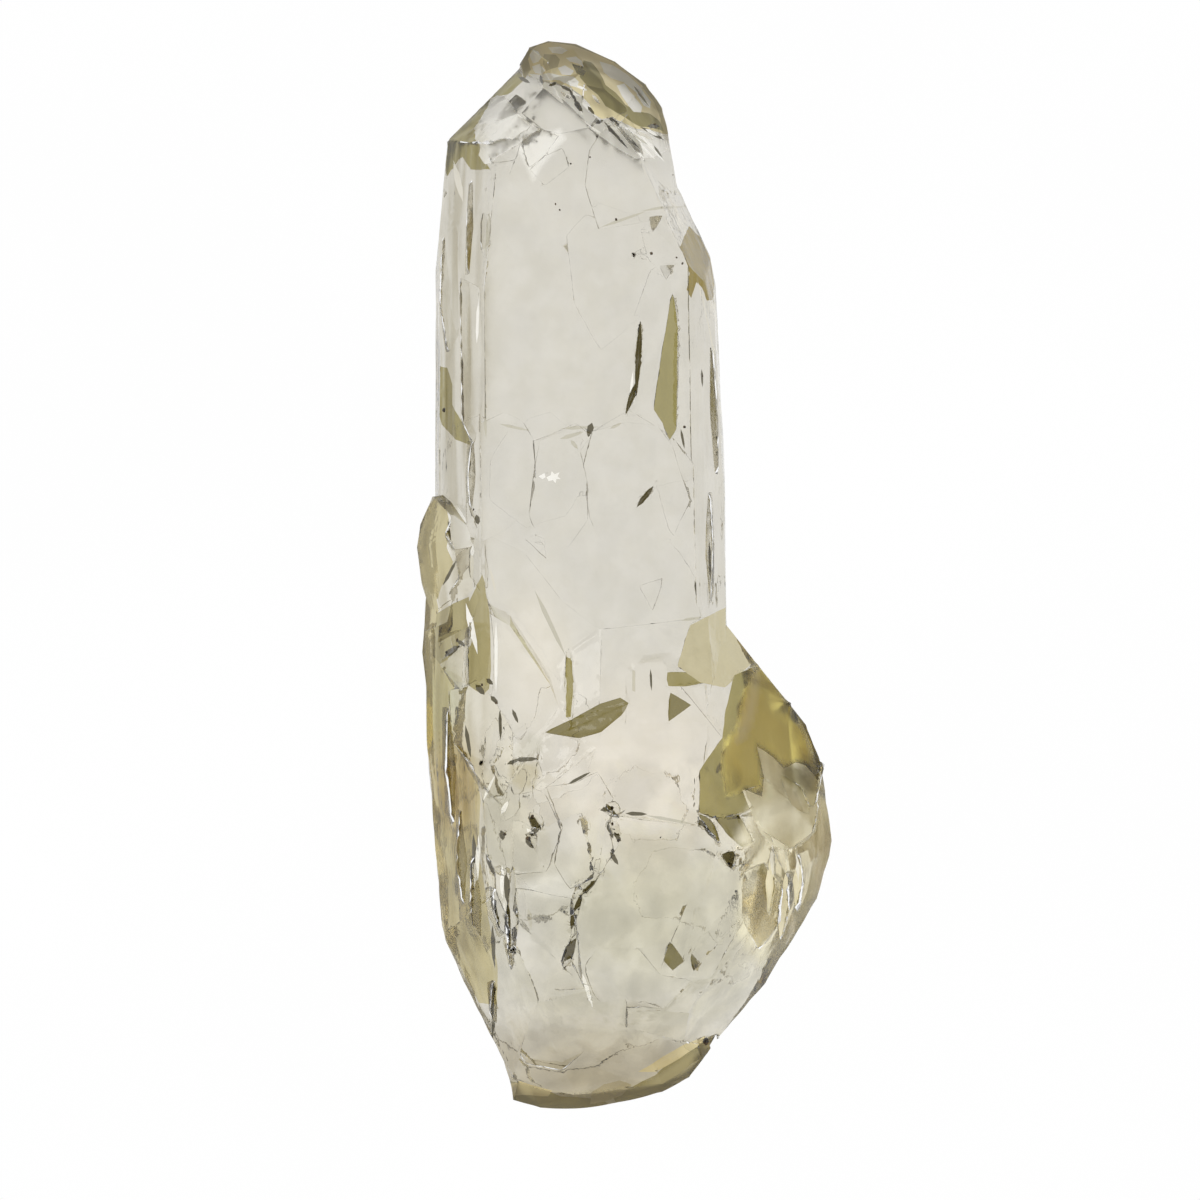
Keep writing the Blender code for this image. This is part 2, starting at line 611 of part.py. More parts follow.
def groove_mesh(groove):
    """A slit as a narrow chip with pointed ends."""
    start = Vector(groove.start)
    end = Vector(groove.end)
    along = (end - start).normalized()
    aside = Vector((-along.y, along.x)) * groove.width / 2
    middle = (start + end) / 2
    corners = (start, middle - aside, end, middle + aside)
    outline = tuple((corner.x, corner.y) for corner in corners)
    return chip_mesh(Chip(outline, groove.floor, groove.fall, groove.towards), from_front=True)


def add_object(name, mesh, collection):
    """Turns a mesh in millimetres into an object in metres."""
    mesh.transform(Matrix.Scale(MM, 4))
    data = bpy.data.meshes.new(name)
    mesh.to_mesh(data)
    mesh.free()
    obj = bpy.data.objects.new(name, data)
    collection.objects.link(obj)
    return obj


def add_helper(name, mesh, collection):
    """Adds a lobe or a cutter, which only the Booleans use."""
    helper = add_object(name, mesh, collection)
    helper.hide_render = True
    helper.display_type = "WIRE"


def new_collection(name):
    """Adds an empty collection to the scene."""
    collection = bpy.data.collections.new(name)
    bpy.context.scene.collection.children.link(collection)
    return collection


def heliodor_material():
    """Clear beryl with a pale yellow tint."""
    material = bpy.data.materials.new("heliodor")
    material.use_nodes = True
    surface = material.node_tree.nodes["Principled BSDF"]
    surface.inputs["Base Color"].default_value = COLOUR
    surface.inputs["Roughness"].default_value = ROUGHNESS
    surface.inputs["Metallic"].default_value = 0.0
    surface.inputs["IOR"].default_value = REFRACTION
    surface.inputs["Transmission Weight"].default_value = 1.0
    return material


def add_boolean(crystal, operation, collection):
    """Joins every helper of a collection to the crystal, or cuts it out."""
    boolean = crystal.modifiers.new(operation.title(), "BOOLEAN")
    boolean.operation = operation
    boolean.operand_type = "COLLECTION"
    boolean.collection = collection
    boolean.solver = "EXACT"


def build_crystal():
    """Joins the lobes, then breaks the chips and the slits out of them."""
    lobes = new_collection("lobes")
    breaks = new_collection("breaks")
    first, *others = LOBES
    crystal = add_object(NAME, lobe_mesh(LOBES[first]), bpy.context.scene.collection)
    for name in others:
        add_helper(name, lobe_mesh(LOBES[name]), lobes)
    for name, chip in FRONT_CHIPS.items():
        add_helper(name, chip_mesh(chip, from_front=True), breaks)
    for name, chip in BACK_CHIPS.items():
        add_helper(name, chip_mesh(chip, from_front=False), breaks)
    for name, groove in GROOVES.items():
        add_helper(name, groove_mesh(groove), breaks)
    add_helper("rest_plane", prism_over(REST_BLOCK, BELOW - CLEAR, BACK), breaks)
    crystal.data.materials.append(heliodor_material())
    add_boolean(crystal, "UNION", lobes)
    add_boolean(crystal, "DIFFERENCE", breaks)


for leftover in list(bpy.data.objects):
    bpy.data.objects.remove(leftover, do_unlink=True)
build_crystal()
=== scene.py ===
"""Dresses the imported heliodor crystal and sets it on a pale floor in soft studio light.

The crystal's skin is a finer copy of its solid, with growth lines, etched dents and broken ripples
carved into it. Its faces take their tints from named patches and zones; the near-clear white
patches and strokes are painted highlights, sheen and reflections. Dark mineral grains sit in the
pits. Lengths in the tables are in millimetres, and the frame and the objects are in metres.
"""

import logging
import math
import random
from dataclasses import dataclass
from enum import Enum

import bmesh
import bpy
import numpy as np
from mathutils import Matrix, Vector, noise
from mathutils.bvhtree import BVHTree


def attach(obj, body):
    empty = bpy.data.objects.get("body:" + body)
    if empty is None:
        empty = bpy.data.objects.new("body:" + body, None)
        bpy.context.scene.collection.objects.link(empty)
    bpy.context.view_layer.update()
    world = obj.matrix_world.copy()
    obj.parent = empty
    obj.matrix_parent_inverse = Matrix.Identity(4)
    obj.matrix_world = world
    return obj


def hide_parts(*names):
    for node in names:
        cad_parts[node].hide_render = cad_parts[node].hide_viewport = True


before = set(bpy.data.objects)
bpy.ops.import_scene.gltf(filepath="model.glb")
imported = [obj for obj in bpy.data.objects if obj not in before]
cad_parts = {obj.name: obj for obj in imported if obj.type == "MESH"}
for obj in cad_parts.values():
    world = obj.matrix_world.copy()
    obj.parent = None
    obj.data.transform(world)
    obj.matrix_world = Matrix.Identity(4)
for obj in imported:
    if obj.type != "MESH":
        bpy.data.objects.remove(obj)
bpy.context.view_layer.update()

LOG = logging.getLogger("heliodor")

MM = 0.001
NODE = "heliodor_crystal"
BODY = "root"
SAME_PLANE = 0.999

Colour = tuple[float, float, float]
Point = tuple[float, float]
Range = tuple[float, float]
StrokeRow = tuple[float, float, float, float, float]


class Tint(Enum):
    """The share of the light that a place of the surface lets through, by colour."""

    # Painted light: near-clear, so that the highlights, sheen and reflections painted with it show as
    # bright places.
    PAINTED_LIGHT = (0.97, 0.965, 0.945)
    FRONT = (0.695, 0.68, 0.64)
    PALE = (0.73, 0.705, 0.63)
    GREY = (0.58, 0.56, 0.48)
    BUFF = (0.58, 0.53, 0.38)
    TAN = (0.58, 0.53, 0.355)
    FLANK = (0.58, 0.52, 0.31)
    OLIVE = (0.33, 0.29, 0.11)
    DARK_OLIVE = (0.2, 0.17, 0.05)
    SEAM = (0.09, 0.075, 0.03)
    BRONZE = (0.27, 0.2, 0.01)
    GOLD = (0.84, 0.75, 0.47)
    DARK_GOLD = (0.56, 0.49, 0.27)
    AMBER = (0.78, 0.67, 0.2)
    MOSS = (0.42, 0.375, 0.2)
    SAND = (0.98, 0.94, 0.77)


@dataclass(frozen=True)
class Patch:
    """A face or a broken place of the front, with an edge and a tint: the crystal's own colour there,
    or a near-clear white that paints a highlight, sheen, reflection or lightened place.

    Where soft is more than 0, the edge fades over that width, and the tint covers by its share.
    """

    outline: tuple[Point, ...]
    tint: Tint
    frost: float = 0.0
    soft: float = 0.0
    share: float = 1.0


@dataclass(frozen=True)
class Zone:
    """A soft-edged zone: its middle, its radii across and along, and its tint."""

    middle: Point
    across: float
    along: float
    tint: Colour


@dataclass(frozen=True)
class Stroke:
    """A narrow crack or ridge with pointed ends, or a painted highlight along one: its two ends, its
    width and its tint.

    It is widest at one share of its length and slimmer at another.
    """

    start: Point
    end: Point
    width: float
    tint: Tint
    widest_at: float = 0.3
    slimmer_at: float = 0.75
    slimmer: float = 0.8

    def outline(self) -> tuple[Point, ...]:
        """The corners of the stroke, widest near its start."""
        start, end = Vector(self.start), Vector(self.end)
        aside = Vector((start.y - end.y, end.x - start.x)).normalized() * self.width / 2
        wide = start.lerp(end, self.widest_at)
        slim = start.lerp(end, self.slimmer_at)
        less = aside * self.slimmer
        corners = (start, wide + aside, slim + less, end, slim - less, wide - aside)
        return tuple((corner.x, corner.y) for corner in corners)


PATCHES: dict[str, Patch] = {
    "left_flank": Patch(
        ((-7.47, 3.04), (-7.0, 2.84), (-6.88, 1.78), (-7.0, 1.08), (-6.76, 0.53), (-6.22, 0.37),
         (-6.76, -0.57), (-7.35, -1.43), (-7.24, -2.53), (-6.96, -3.0), (-6.65, -4.49), (-6.45, -6.25),
         (-5.98, -7.31), (-5.67, -8.8), (-5.78, -10.76), (-5.43, -12.92), (-5.04, -15.08),
         (-5.04, -16.8), (-5.75, -16.76), (-7.24, -13.9), (-7.55, -10.37), (-7.94, -4.88),
         (-8.33, 0.61), (-8.18, 2.18)),
        Tint.FLANK, frost=0.2,
    ),
    # Painted light: a near-clear tint lightens the bulge, which the steep faces' refraction would leave
    # grey; the frost is real.
    "bulge_painted_light": Patch(
        ((-7.0, 2.84), (-6.61, 2.73), (-6.29, 2.25), (-6.06, 1.59), (-5.9, 0.92), (-6.22, 0.37),
         (-6.76, 0.53), (-7.0, 1.08), (-6.88, 1.78)),
        Tint.PAINTED_LIGHT, frost=0.9,
    ),
    "left_wedge": Patch(
        ((-7.39, 8.22), (-7.0, 8.14), (-6.8, 7.47), (-6.8, 6.69), (-6.22, 5.67), (-6.06, 5.08),
         (-6.65, 5.31), (-7.24, 5.94), (-7.43, 6.88)),
        Tint.OLIVE,
    ),
    "right_notch": Patch(
        ((2.57, 13.71), (3.0, 13.31), (3.43, 12.45), (3.59, 11.39), (3.51, 10.8), (3.27, 10.73),
         (3.04, 11.27), (2.84, 11.43), (2.65, 10.8), (2.41, 11.12), (2.57, 11.75), (2.18, 12.76)),
        Tint.BRONZE, frost=0.3,
    ),
    "shoulder_band": Patch(
        ((-4.14, 19.82), (-3.94, 19.43), (-4.45, 18.96), (-4.92, 18.8), (-5.35, 18.45),
         (-5.67, 17.94), (-5.55, 17.39), (-5.71, 16.69), (-5.47, 16.14), (-5.31, 15.82),
         (-6.06, 15.86), (-6.41, 16.41), (-6.73, 16.06), (-7.0, 15.67), (-7.2, 16.69), (-6.88, 17.31),
         (-6.06, 18.14), (-5.08, 19.12)),
        Tint.OLIVE, frost=0.5,
    ),
    "dome": Patch(
        ((-3.78, 19.59), (-3.82, 20.14), (-3.94, 20.41), (-3.78, 20.84), (-3.12, 21.39),
         (-1.94, 21.31), (-0.49, 20.69), (0.8, 19.59), (1.47, 18.65), (1.86, 17.47), (1.55, 17.35),
         (1.0, 17.47), (0.45, 17.47), (-0.1, 17.71), (-0.49, 17.9), (-0.88, 17.82), (-1.2, 18.02),
         (-1.35, 18.41), (-1.67, 18.73), (-2.06, 19.0), (-2.53, 19.2), (-3.12, 19.35)),
        Tint.GOLD, frost=0.9,
    ),
    "dome_rim": Patch(
        ((-3.94, 19.43), (-4.1, 19.98), (-3.86, 20.84), (-3.12, 21.47), (-1.75, 21.47), (-0.18, 20.8),
         (1.0, 19.67), (1.71, 18.65), (2.02, 17.31), (1.55, 17.35), (1.47, 17.94), (1.2, 18.57),
         (0.69, 19.27), (-0.1, 20.02), (-0.96, 20.45), (-1.94, 20.8), (-2.84, 20.96), (-3.39, 20.84),
         (-3.71, 20.61), (-3.82, 20.29), (-3.71, 19.82)),
        Tint.DARK_GOLD, frost=0.9,
    ),
    "dome_olive": Patch(
        ((-1.59, 20.22), (-1.27, 20.14), (-0.96, 19.75), (-0.73, 19.2), (-0.33, 18.88), (0.06, 18.41),
         (0.61, 18.18), (1.08, 18.1), (1.47, 17.78), (1.63, 17.43), (1.16, 17.55), (0.69, 17.55),
         (0.22, 17.78), (-0.18, 18.02), (-0.73, 18.33), (-1.04, 18.8), (-1.43, 19.12), (-1.75, 19.51)),
        Tint.OLIVE, frost=0.9,
    ),
    "dome_hollow": Patch(
        ((-3.16, 20.45), (-2.69, 20.41), (-2.53, 20.22), (-2.61, 19.9), (-3.08, 19.75),
         (-3.24, 20.06)),
        Tint.DARK_GOLD, frost=0.9,
    ),
    # Painted highlights: the white patches from here to dome_sliver stand for bright bands and glints
    # on the dome.
    "dome_highlight": Patch(
        ((-0.96, 20.22), (-0.41, 20.06), (0.14, 19.67), (0.69, 19.12), (1.08, 18.61), (1.04, 18.33),
         (0.8, 18.41), (0.45, 18.96), (-0.02, 19.35), (-0.49, 19.51), (-0.8, 19.75)),
        Tint.PAINTED_LIGHT, frost=0.9,
    ),
    "dome_facet": Patch(
        ((-0.29, 19.2), (0.02, 19.31), (0.25, 18.96), (0.53, 18.65), (0.73, 18.37), (0.69, 18.14),
         (0.41, 18.14), (0.14, 18.45), (-0.1, 18.76)),
        Tint.PAINTED_LIGHT, frost=0.9,
    ),
    "dome_fleck": Patch(
        ((0.37, 19.35), (0.65, 19.12), (0.92, 18.76), (1.08, 18.45), (0.84, 18.53), (0.61, 18.88)),
        Tint.PAINTED_LIGHT, frost=0.9,
    ),
    "dome_gleam": Patch(
        ((-3.0, 20.73), (-2.53, 20.76), (-2.22, 20.61), (-2.45, 20.45), (-2.84, 20.49)),
        Tint.PAINTED_LIGHT, frost=0.9,
    ),
    "dome_pearl": Patch(
        ((-3.78, 20.45), (-3.63, 20.65), (-3.39, 20.57), (-3.27, 20.33), (-3.39, 20.14),
         (-3.63, 20.1)),
        Tint.PAINTED_LIGHT, frost=0.9,
    ),
    "dome_bead": Patch(
        ((-3.67, 19.98), (-3.35, 20.06), (-3.12, 19.78), (-3.2, 19.59), (-3.51, 19.67)),
        Tint.PAINTED_LIGHT, frost=0.9,
    ),
    "dome_drop": Patch(
        ((-2.61, 19.86), (-2.33, 19.98), (-1.98, 19.75), (-2.1, 19.55), (-2.45, 19.59)),
        Tint.PAINTED_LIGHT, frost=0.9,
    ),
    "dome_sliver": Patch(
        ((-2.29, 20.29), (-1.9, 20.37), (-1.67, 20.18), (-1.59, 19.94), (-1.82, 20.06),
         (-2.14, 20.14)),
        Tint.PAINTED_LIGHT, frost=0.9,
    ),
    "dome_spot": Patch(
        ((-2.06, 20.06), (-1.75, 19.98), (-1.51, 19.75), (-1.59, 19.55), (-1.86, 19.63)),
        Tint.DARK_OLIVE,
    ),
    # Painted highlights: a white ledge and skirt under the dome, over real frost.
    "dome_ledge": Patch(
        ((-3.78, 19.67), (-3.31, 19.59), (-3.0, 19.67), (-2.53, 19.55), (-1.98, 19.51),
         (-1.78, 19.31), (-1.82, 19.04), (-2.18, 19.12), (-2.53, 19.35), (-3.08, 19.35),
         (-3.55, 19.47)),
        Tint.PAINTED_LIGHT, frost=0.9,
    ),
    "dome_skirt": Patch(
        ((-3.12, 19.27), (-2.53, 19.12), (-2.06, 18.92), (-1.67, 18.65), (-1.35, 18.33),
         (-1.08, 17.86), (-1.35, 17.51), (-1.75, 17.9), (-2.29, 18.45), (-2.84, 18.84),
         (-3.27, 19.04)),
        Tint.PAINTED_LIGHT, frost=1.0,
    ),
    # Painted highlight: the rippled break shows white, over real frost.
    "ripple_field": Patch(
        ((-0.96, 17.71), (-0.49, 17.82), (0.37, 17.43), (1.55, 17.31), (1.75, 16.69), (1.2, 16.37),
         (0.45, 16.22), (-0.25, 16.61), (-0.8, 17.0), (-1.35, 17.39)),
        Tint.PAINTED_LIGHT, frost=1.0,
    ),
    # Painted reflection: a white patch where the broken shoulder reflects the light, over real frost.
    "hackle": Patch(
        ((-5.43, 18.41), (-5.27, 18.76), (-5.0, 18.88), (-4.65, 18.73), (-4.37, 18.33),
         (-4.22, 18.06), (-3.98, 17.82), (-3.63, 17.55), (-3.27, 17.35), (-3.63, 17.16), (-4.1, 16.84),
         (-4.57, 16.57), (-4.96, 16.37), (-5.24, 16.06), (-5.55, 16.06), (-5.78, 16.41),
         (-5.71, 16.76), (-5.9, 17.16), (-5.9, 17.63), (-5.63, 17.98)),
        Tint.PAINTED_LIGHT, frost=1.0,
    ),
    "lip_left": Patch(
        ((-4.69, -19.86), (-4.1, -19.98), (-3.12, -20.18), (-2.53, -20.49), (-0.96, -20.57),
         (-0.49, -20.88), (-2.53, -21.27), (-4.88, -20.96)),
        Tint.OLIVE,
    ),
    "lip_gold": Patch(
        ((-4.69, -20.02), (-4.1, -19.9), (-3.51, -20.06), (-2.84, -20.25), (-3.0, -20.49),
         (-3.71, -20.45), (-4.49, -20.49)),
        Tint.GOLD,
    ),
    "lip_right": Patch(
        ((-0.49, -20.49), (0.61, -19.94), (1.2, -19.63), (1.86, -19.0), (2.96, -18.22),
         (3.51, -18.14), (3.59, -18.84), (2.96, -19.47), (1.39, -20.49), (-0.18, -20.96)),
        Tint.OLIVE,
    ),
    "lip_gap": Patch(
        ((-1.27, -20.25), (-0.8, -19.94), (-0.18, -19.82), (0.29, -20.02), (-0.1, -20.45),
         (-0.73, -20.69), (-1.35, -20.8)),
        Tint.BUFF,
    ),
    "lip_pale": Patch(
        ((0.53, -19.47), (1.55, -18.84), (2.57, -18.29), (3.2, -18.02), (3.04, -18.37),
         (2.25, -18.92), (1.24, -19.47)),
        Tint.GOLD,
    ),
    "shard_upper": Patch(
        ((-6.1, 1.12), (-5.94, 0.61), (-5.94, -0.57), (-6.25, -0.84), (-6.76, -1.04), (-7.31, -1.39),
         (-7.39, -0.96), (-7.2, -0.41), (-6.88, -0.02), (-6.76, 0.53), (-6.45, 0.88)),
        Tint.PALE,
    ),
    "shard_lower": Patch(
        ((-7.24, -3.47), (-6.76, -3.2), (-6.22, -2.53), (-6.1, -3.12), (-6.1, -4.25), (-6.61, -4.14),
         (-7.0, -3.86)),
        Tint.PALE,
    ),
    "bulge_olive": Patch(
        ((-7.39, -1.47), (-6.76, -1.12), (-6.1, -0.84), (-6.06, -1.55), (-6.14, -2.37),
         (-6.41, -2.57), (-6.76, -3.12), (-7.24, -3.47), (-7.55, -3.12), (-7.51, -2.14)),
        Tint.MOSS,
    ),
    "shard_long": Patch(
        ((-6.84, -4.49), (-6.3, -4.4), (-5.75, -4.1), (-5.08, -4.88), (-4.41, -6.06), (-4.41, -7.63),
         (-4.88, -8.8), (-5.27, -8.41), (-6.06, -7.24), (-6.76, -6.45)),
        Tint.PALE,
    ),
    "column_stripe": Patch(
        ((-5.59, 0.06), (-5.43, -0.49), (-5.31, -1.43), (-5.27, -2.53), (-5.24, -3.63),
         (-5.31, -4.41), (-5.51, -4.65), (-5.82, -4.49), (-6.14, -4.25), (-6.14, -3.12),
         (-5.98, -2.45), (-6.06, -1.67), (-6.14, -1.12), (-5.9, -0.65)),
        Tint.MOSS,
    ),
    "blade": Patch(
        ((1.86, 10.92), (2.02, 9.63), (1.98, 5.71), (1.75, 5.31), (1.51, 5.94), (1.16, 6.45),
         (1.39, 8.06)),
        Tint.OLIVE,
    ),
    "lens": Patch(
        ((-3.08, -6.1), (-1.94, -5.55), (-0.96, -5.0), (-0.18, -4.76), (0.14, -4.96), (-0.14, -5.43),
         (-0.92, -6.06), (-1.78, -6.29), (-2.49, -6.18)),
        Tint.DARK_OLIVE,
    ),
    "ramp_slit": Patch(
        ((1.67, -3.78), (2.57, -3.78), (3.2, -4.14), (2.37, -4.29), (1.71, -4.29)),
        Tint.OLIVE,
    ),
    "ramp_triangle": Patch(
        ((1.78, -4.57), (2.57, -5.04), (1.71, -5.67)),
        Tint.DARK_OLIVE,
    ),
    "olive_line": Patch(
        ((-2.29, -3.12), (-2.06, -3.31), (-2.02, -4.49), (-2.1, -5.51), (-2.29, -5.51),
         (-2.25, -4.49)),
        Tint.OLIVE,
    ),
    "grey_line": Patch(
        ((0.29, -3.67), (0.41, -3.71), (0.41, -4.53), (0.29, -4.49)),
        Tint.GREY,
    ),
    "kite": Patch(
        ((2.1, -3.55), (2.57, -1.94), (4.3, -1.1), (5.4, -3.1), (3.94, -4.35), (2.96, -4.15)),
        Tint.TAN,
    ),
    "swelling_hollow": Patch(
        ((4.3, -3.9), (3.95, -5.4), (3.85, -6.3), (2.95, -7.6), (2.95, -9.2), (3.7, -9.4),
         (4.6, -9.2), (5.6, -8.6), (7.4, -9.0), (8.0, -6.0), (5.6, -3.4)),
        Tint.OLIVE, frost=0.35,
    ),
    "swelling_rim": Patch(
        ((5.2, -3.31), (6.49, -4.88), (7.35, -6.53), (7.82, -8.41), (7.59, -8.41), (7.08, -6.65),
         (6.1, -5.08), (5.0, -3.63)),
        Tint.PALE,
    ),
    "swelling_ledge": Patch(
        ((5.2, -6.69), (5.47, -6.84), (5.86, -7.12), (6.25, -7.55), (6.73, -7.31), (7.12, -7.43),
         (7.51, -7.86), (7.75, -8.73), (7.67, -9.59), (7.35, -10.06), (6.88, -10.49), (6.29, -10.69),
         (5.78, -10.45), (5.31, -10.06), (4.96, -9.31), (4.61, -8.33), (5.0, -8.49), (5.39, -8.65),
         (5.47, -7.82)),
        Tint.SAND, frost=0.8,
    ),
    "swelling_quad": Patch(
        ((3.59, -9.39), (4.41, -9.31), (4.96, -10.37), (4.57, -10.53), (4.06, -10.1)),
        Tint.DARK_OLIVE,
    ),
    "swelling_dart": Patch(
        ((2.92, -9.31), (3.27, -9.51), (3.63, -10.33)),
        Tint.DARK_OLIVE,
    ),
    "swelling_pit": Patch(
        ((3.85, -10.85), (4.2, -10.75), (4.15, -11.35)),
        Tint.SEAM,
    ),
    # Painted highlights: a sparkle and its tail.
    "sparkle": Patch(
        ((-3.04, 3.82), (-2.88, 3.9), (-2.84, 4.06), (-2.73, 3.94), (-2.53, 4.02), (-2.61, 3.86),
         (-2.49, 3.75), (-2.65, 3.75), (-2.69, 3.59), (-2.8, 3.71), (-2.96, 3.67)),
        Tint.PAINTED_LIGHT,
    ),
    "sparkle_tail": Patch(
        ((-3.35, 3.86), (-3.12, 3.98), (-3.08, 3.82), (-3.2, 3.75)),
        Tint.PAINTED_LIGHT,
    ),
    "diamond": Patch(
        ((1.75, -14.29), (2.25, -14.96), (1.86, -15.31), (1.55, -14.96)),
        Tint.DARK_OLIVE,
    ),
    "small_diamond": Patch(
        ((2.61, -14.73), (2.84, -15.16), (2.69, -15.35)),
        Tint.DARK_OLIVE,
    ),
    "swelling_blotch": Patch(
        ((6.25, -7.31), (6.88, -7.55), (7.35, -8.02), (7.43, -8.49), (6.88, -8.61), (6.49, -8.22),
         (6.18, -7.82)),
        Tint.OLIVE, soft=0.12, share=0.8,
    ),
    "swelling_deep": Patch(
        ((4.69, -4.49), (5.31, -3.51), (6.29, -4.88), (7.12, -6.41), (7.47, -7.55), (7.12, -7.31),
         (6.73, -7.24), (6.25, -7.43), (5.86, -7.04), (5.47, -6.76), (5.16, -6.61), (5.39, -8.41),
         (4.69, -8.25), (4.53, -8.49), (4.02, -8.57), (3.78, -7.55), (3.9, -6.53), (4.37, -5.98)),
        Tint.AMBER, frost=0.6, soft=0.12,
    ),
    "hollow_streak": Patch(
        ((5.0, -3.63), (5.31, -3.9), (5.2, -4.88), (5.0, -5.75), (4.69, -6.37), (4.37, -6.53),
         (4.61, -5.67), (4.84, -4.69)),
        Tint.GOLD, soft=0.15, share=0.9,
    ),
    "swelling_low": Patch(
        ((5.0, -8.8), (6.88, -8.41), (8.06, -8.8), (8.14, -10.76), (7.47, -12.73), (6.49, -14.69),
         (5.31, -15.16), (4.33, -13.9), (4.53, -11.94), (4.73, -10.76), (4.33, -10.29)),
        Tint.SAND, frost=0.3, soft=0.3, share=0.85,
    ),
    "low_rim": Patch(
        ((-4.65, -19.78), (-2.53, -20.37), (0.61, -20.02), (2.57, -18.69), (3.59, -18.06),
         (3.75, -18.61), (2.57, -20.18), (0.61, -20.76), (-2.53, -21.16), (-4.88, -20.88)),
        Tint.DARK_GOLD, frost=0.7, soft=0.2, share=0.5,
    ),
    # Painted sheen: a soft white patch beside the broken shoulder.
    "feather": Patch(
        ((-4.22, 16.69), (-3.59, 17.08), (-3.0, 17.2), (-2.53, 17.39), (-2.29, 17.0), (-2.69, 16.61),
         (-3.0, 16.22), (-3.31, 15.82), (-3.55, 15.35), (-3.82, 15.9)),
        Tint.PAINTED_LIGHT, soft=0.12, share=0.75,
    ),
    "cell": Patch(
        ((-4.49, -7.35), (-3.43, -7.24), (-3.27, -7.63), (-3.51, -8.1), (-4.02, -8.37),
         (-4.41, -8.06)),
        Tint.BUFF, soft=0.1, share=0.8,
    ),
    "upper_cell": Patch(
        ((-4.25, -6.92), (-4.14, -6.37), (-3.71, -6.14), (-3.27, -6.29), (-3.16, -6.76),
         (-3.47, -7.08), (-4.02, -7.12)),
        Tint.GREY, soft=0.15, share=0.6,
    ),
    "grey_cell": Patch(
        ((-5.51, -8.8), (-5.04, -8.1), (-4.57, -8.41), (-4.53, -9.04), (-4.96, -9.82),
         (-4.88, -10.45), (-4.33, -10.76), (-4.69, -11.39), (-5.2, -11.24), (-5.51, -10.76),
         (-5.63, -9.82)),
        Tint.GREY, soft=0.25, share=0.9,
    ),
    "lower_grey": Patch(
        ((-3.12, -15.39), (-1.94, -15.16), (-0.96, -16.65), (2.96, -16.76), (4.61, -16.65),
         (3.75, -17.35), (0.61, -17.04), (-2.53, -16.88), (-4.1, -16.65), (-4.88, -16.06)),
        Tint.GREY, soft=0.3, share=0.45,
    ),
    # Painted sheen: a soft white band across the lower trunk.
    "painted_sheen_band": Patch(
        ((-4.02, -11.94), (-3.31, -11.63), (-2.53, -11.63), (-1.75, -12.25), (-2.14, -12.57),
         (-3.12, -12.45), (-3.94, -12.33)),
        Tint.PAINTED_LIGHT, soft=0.2, share=0.45,
    ),
}

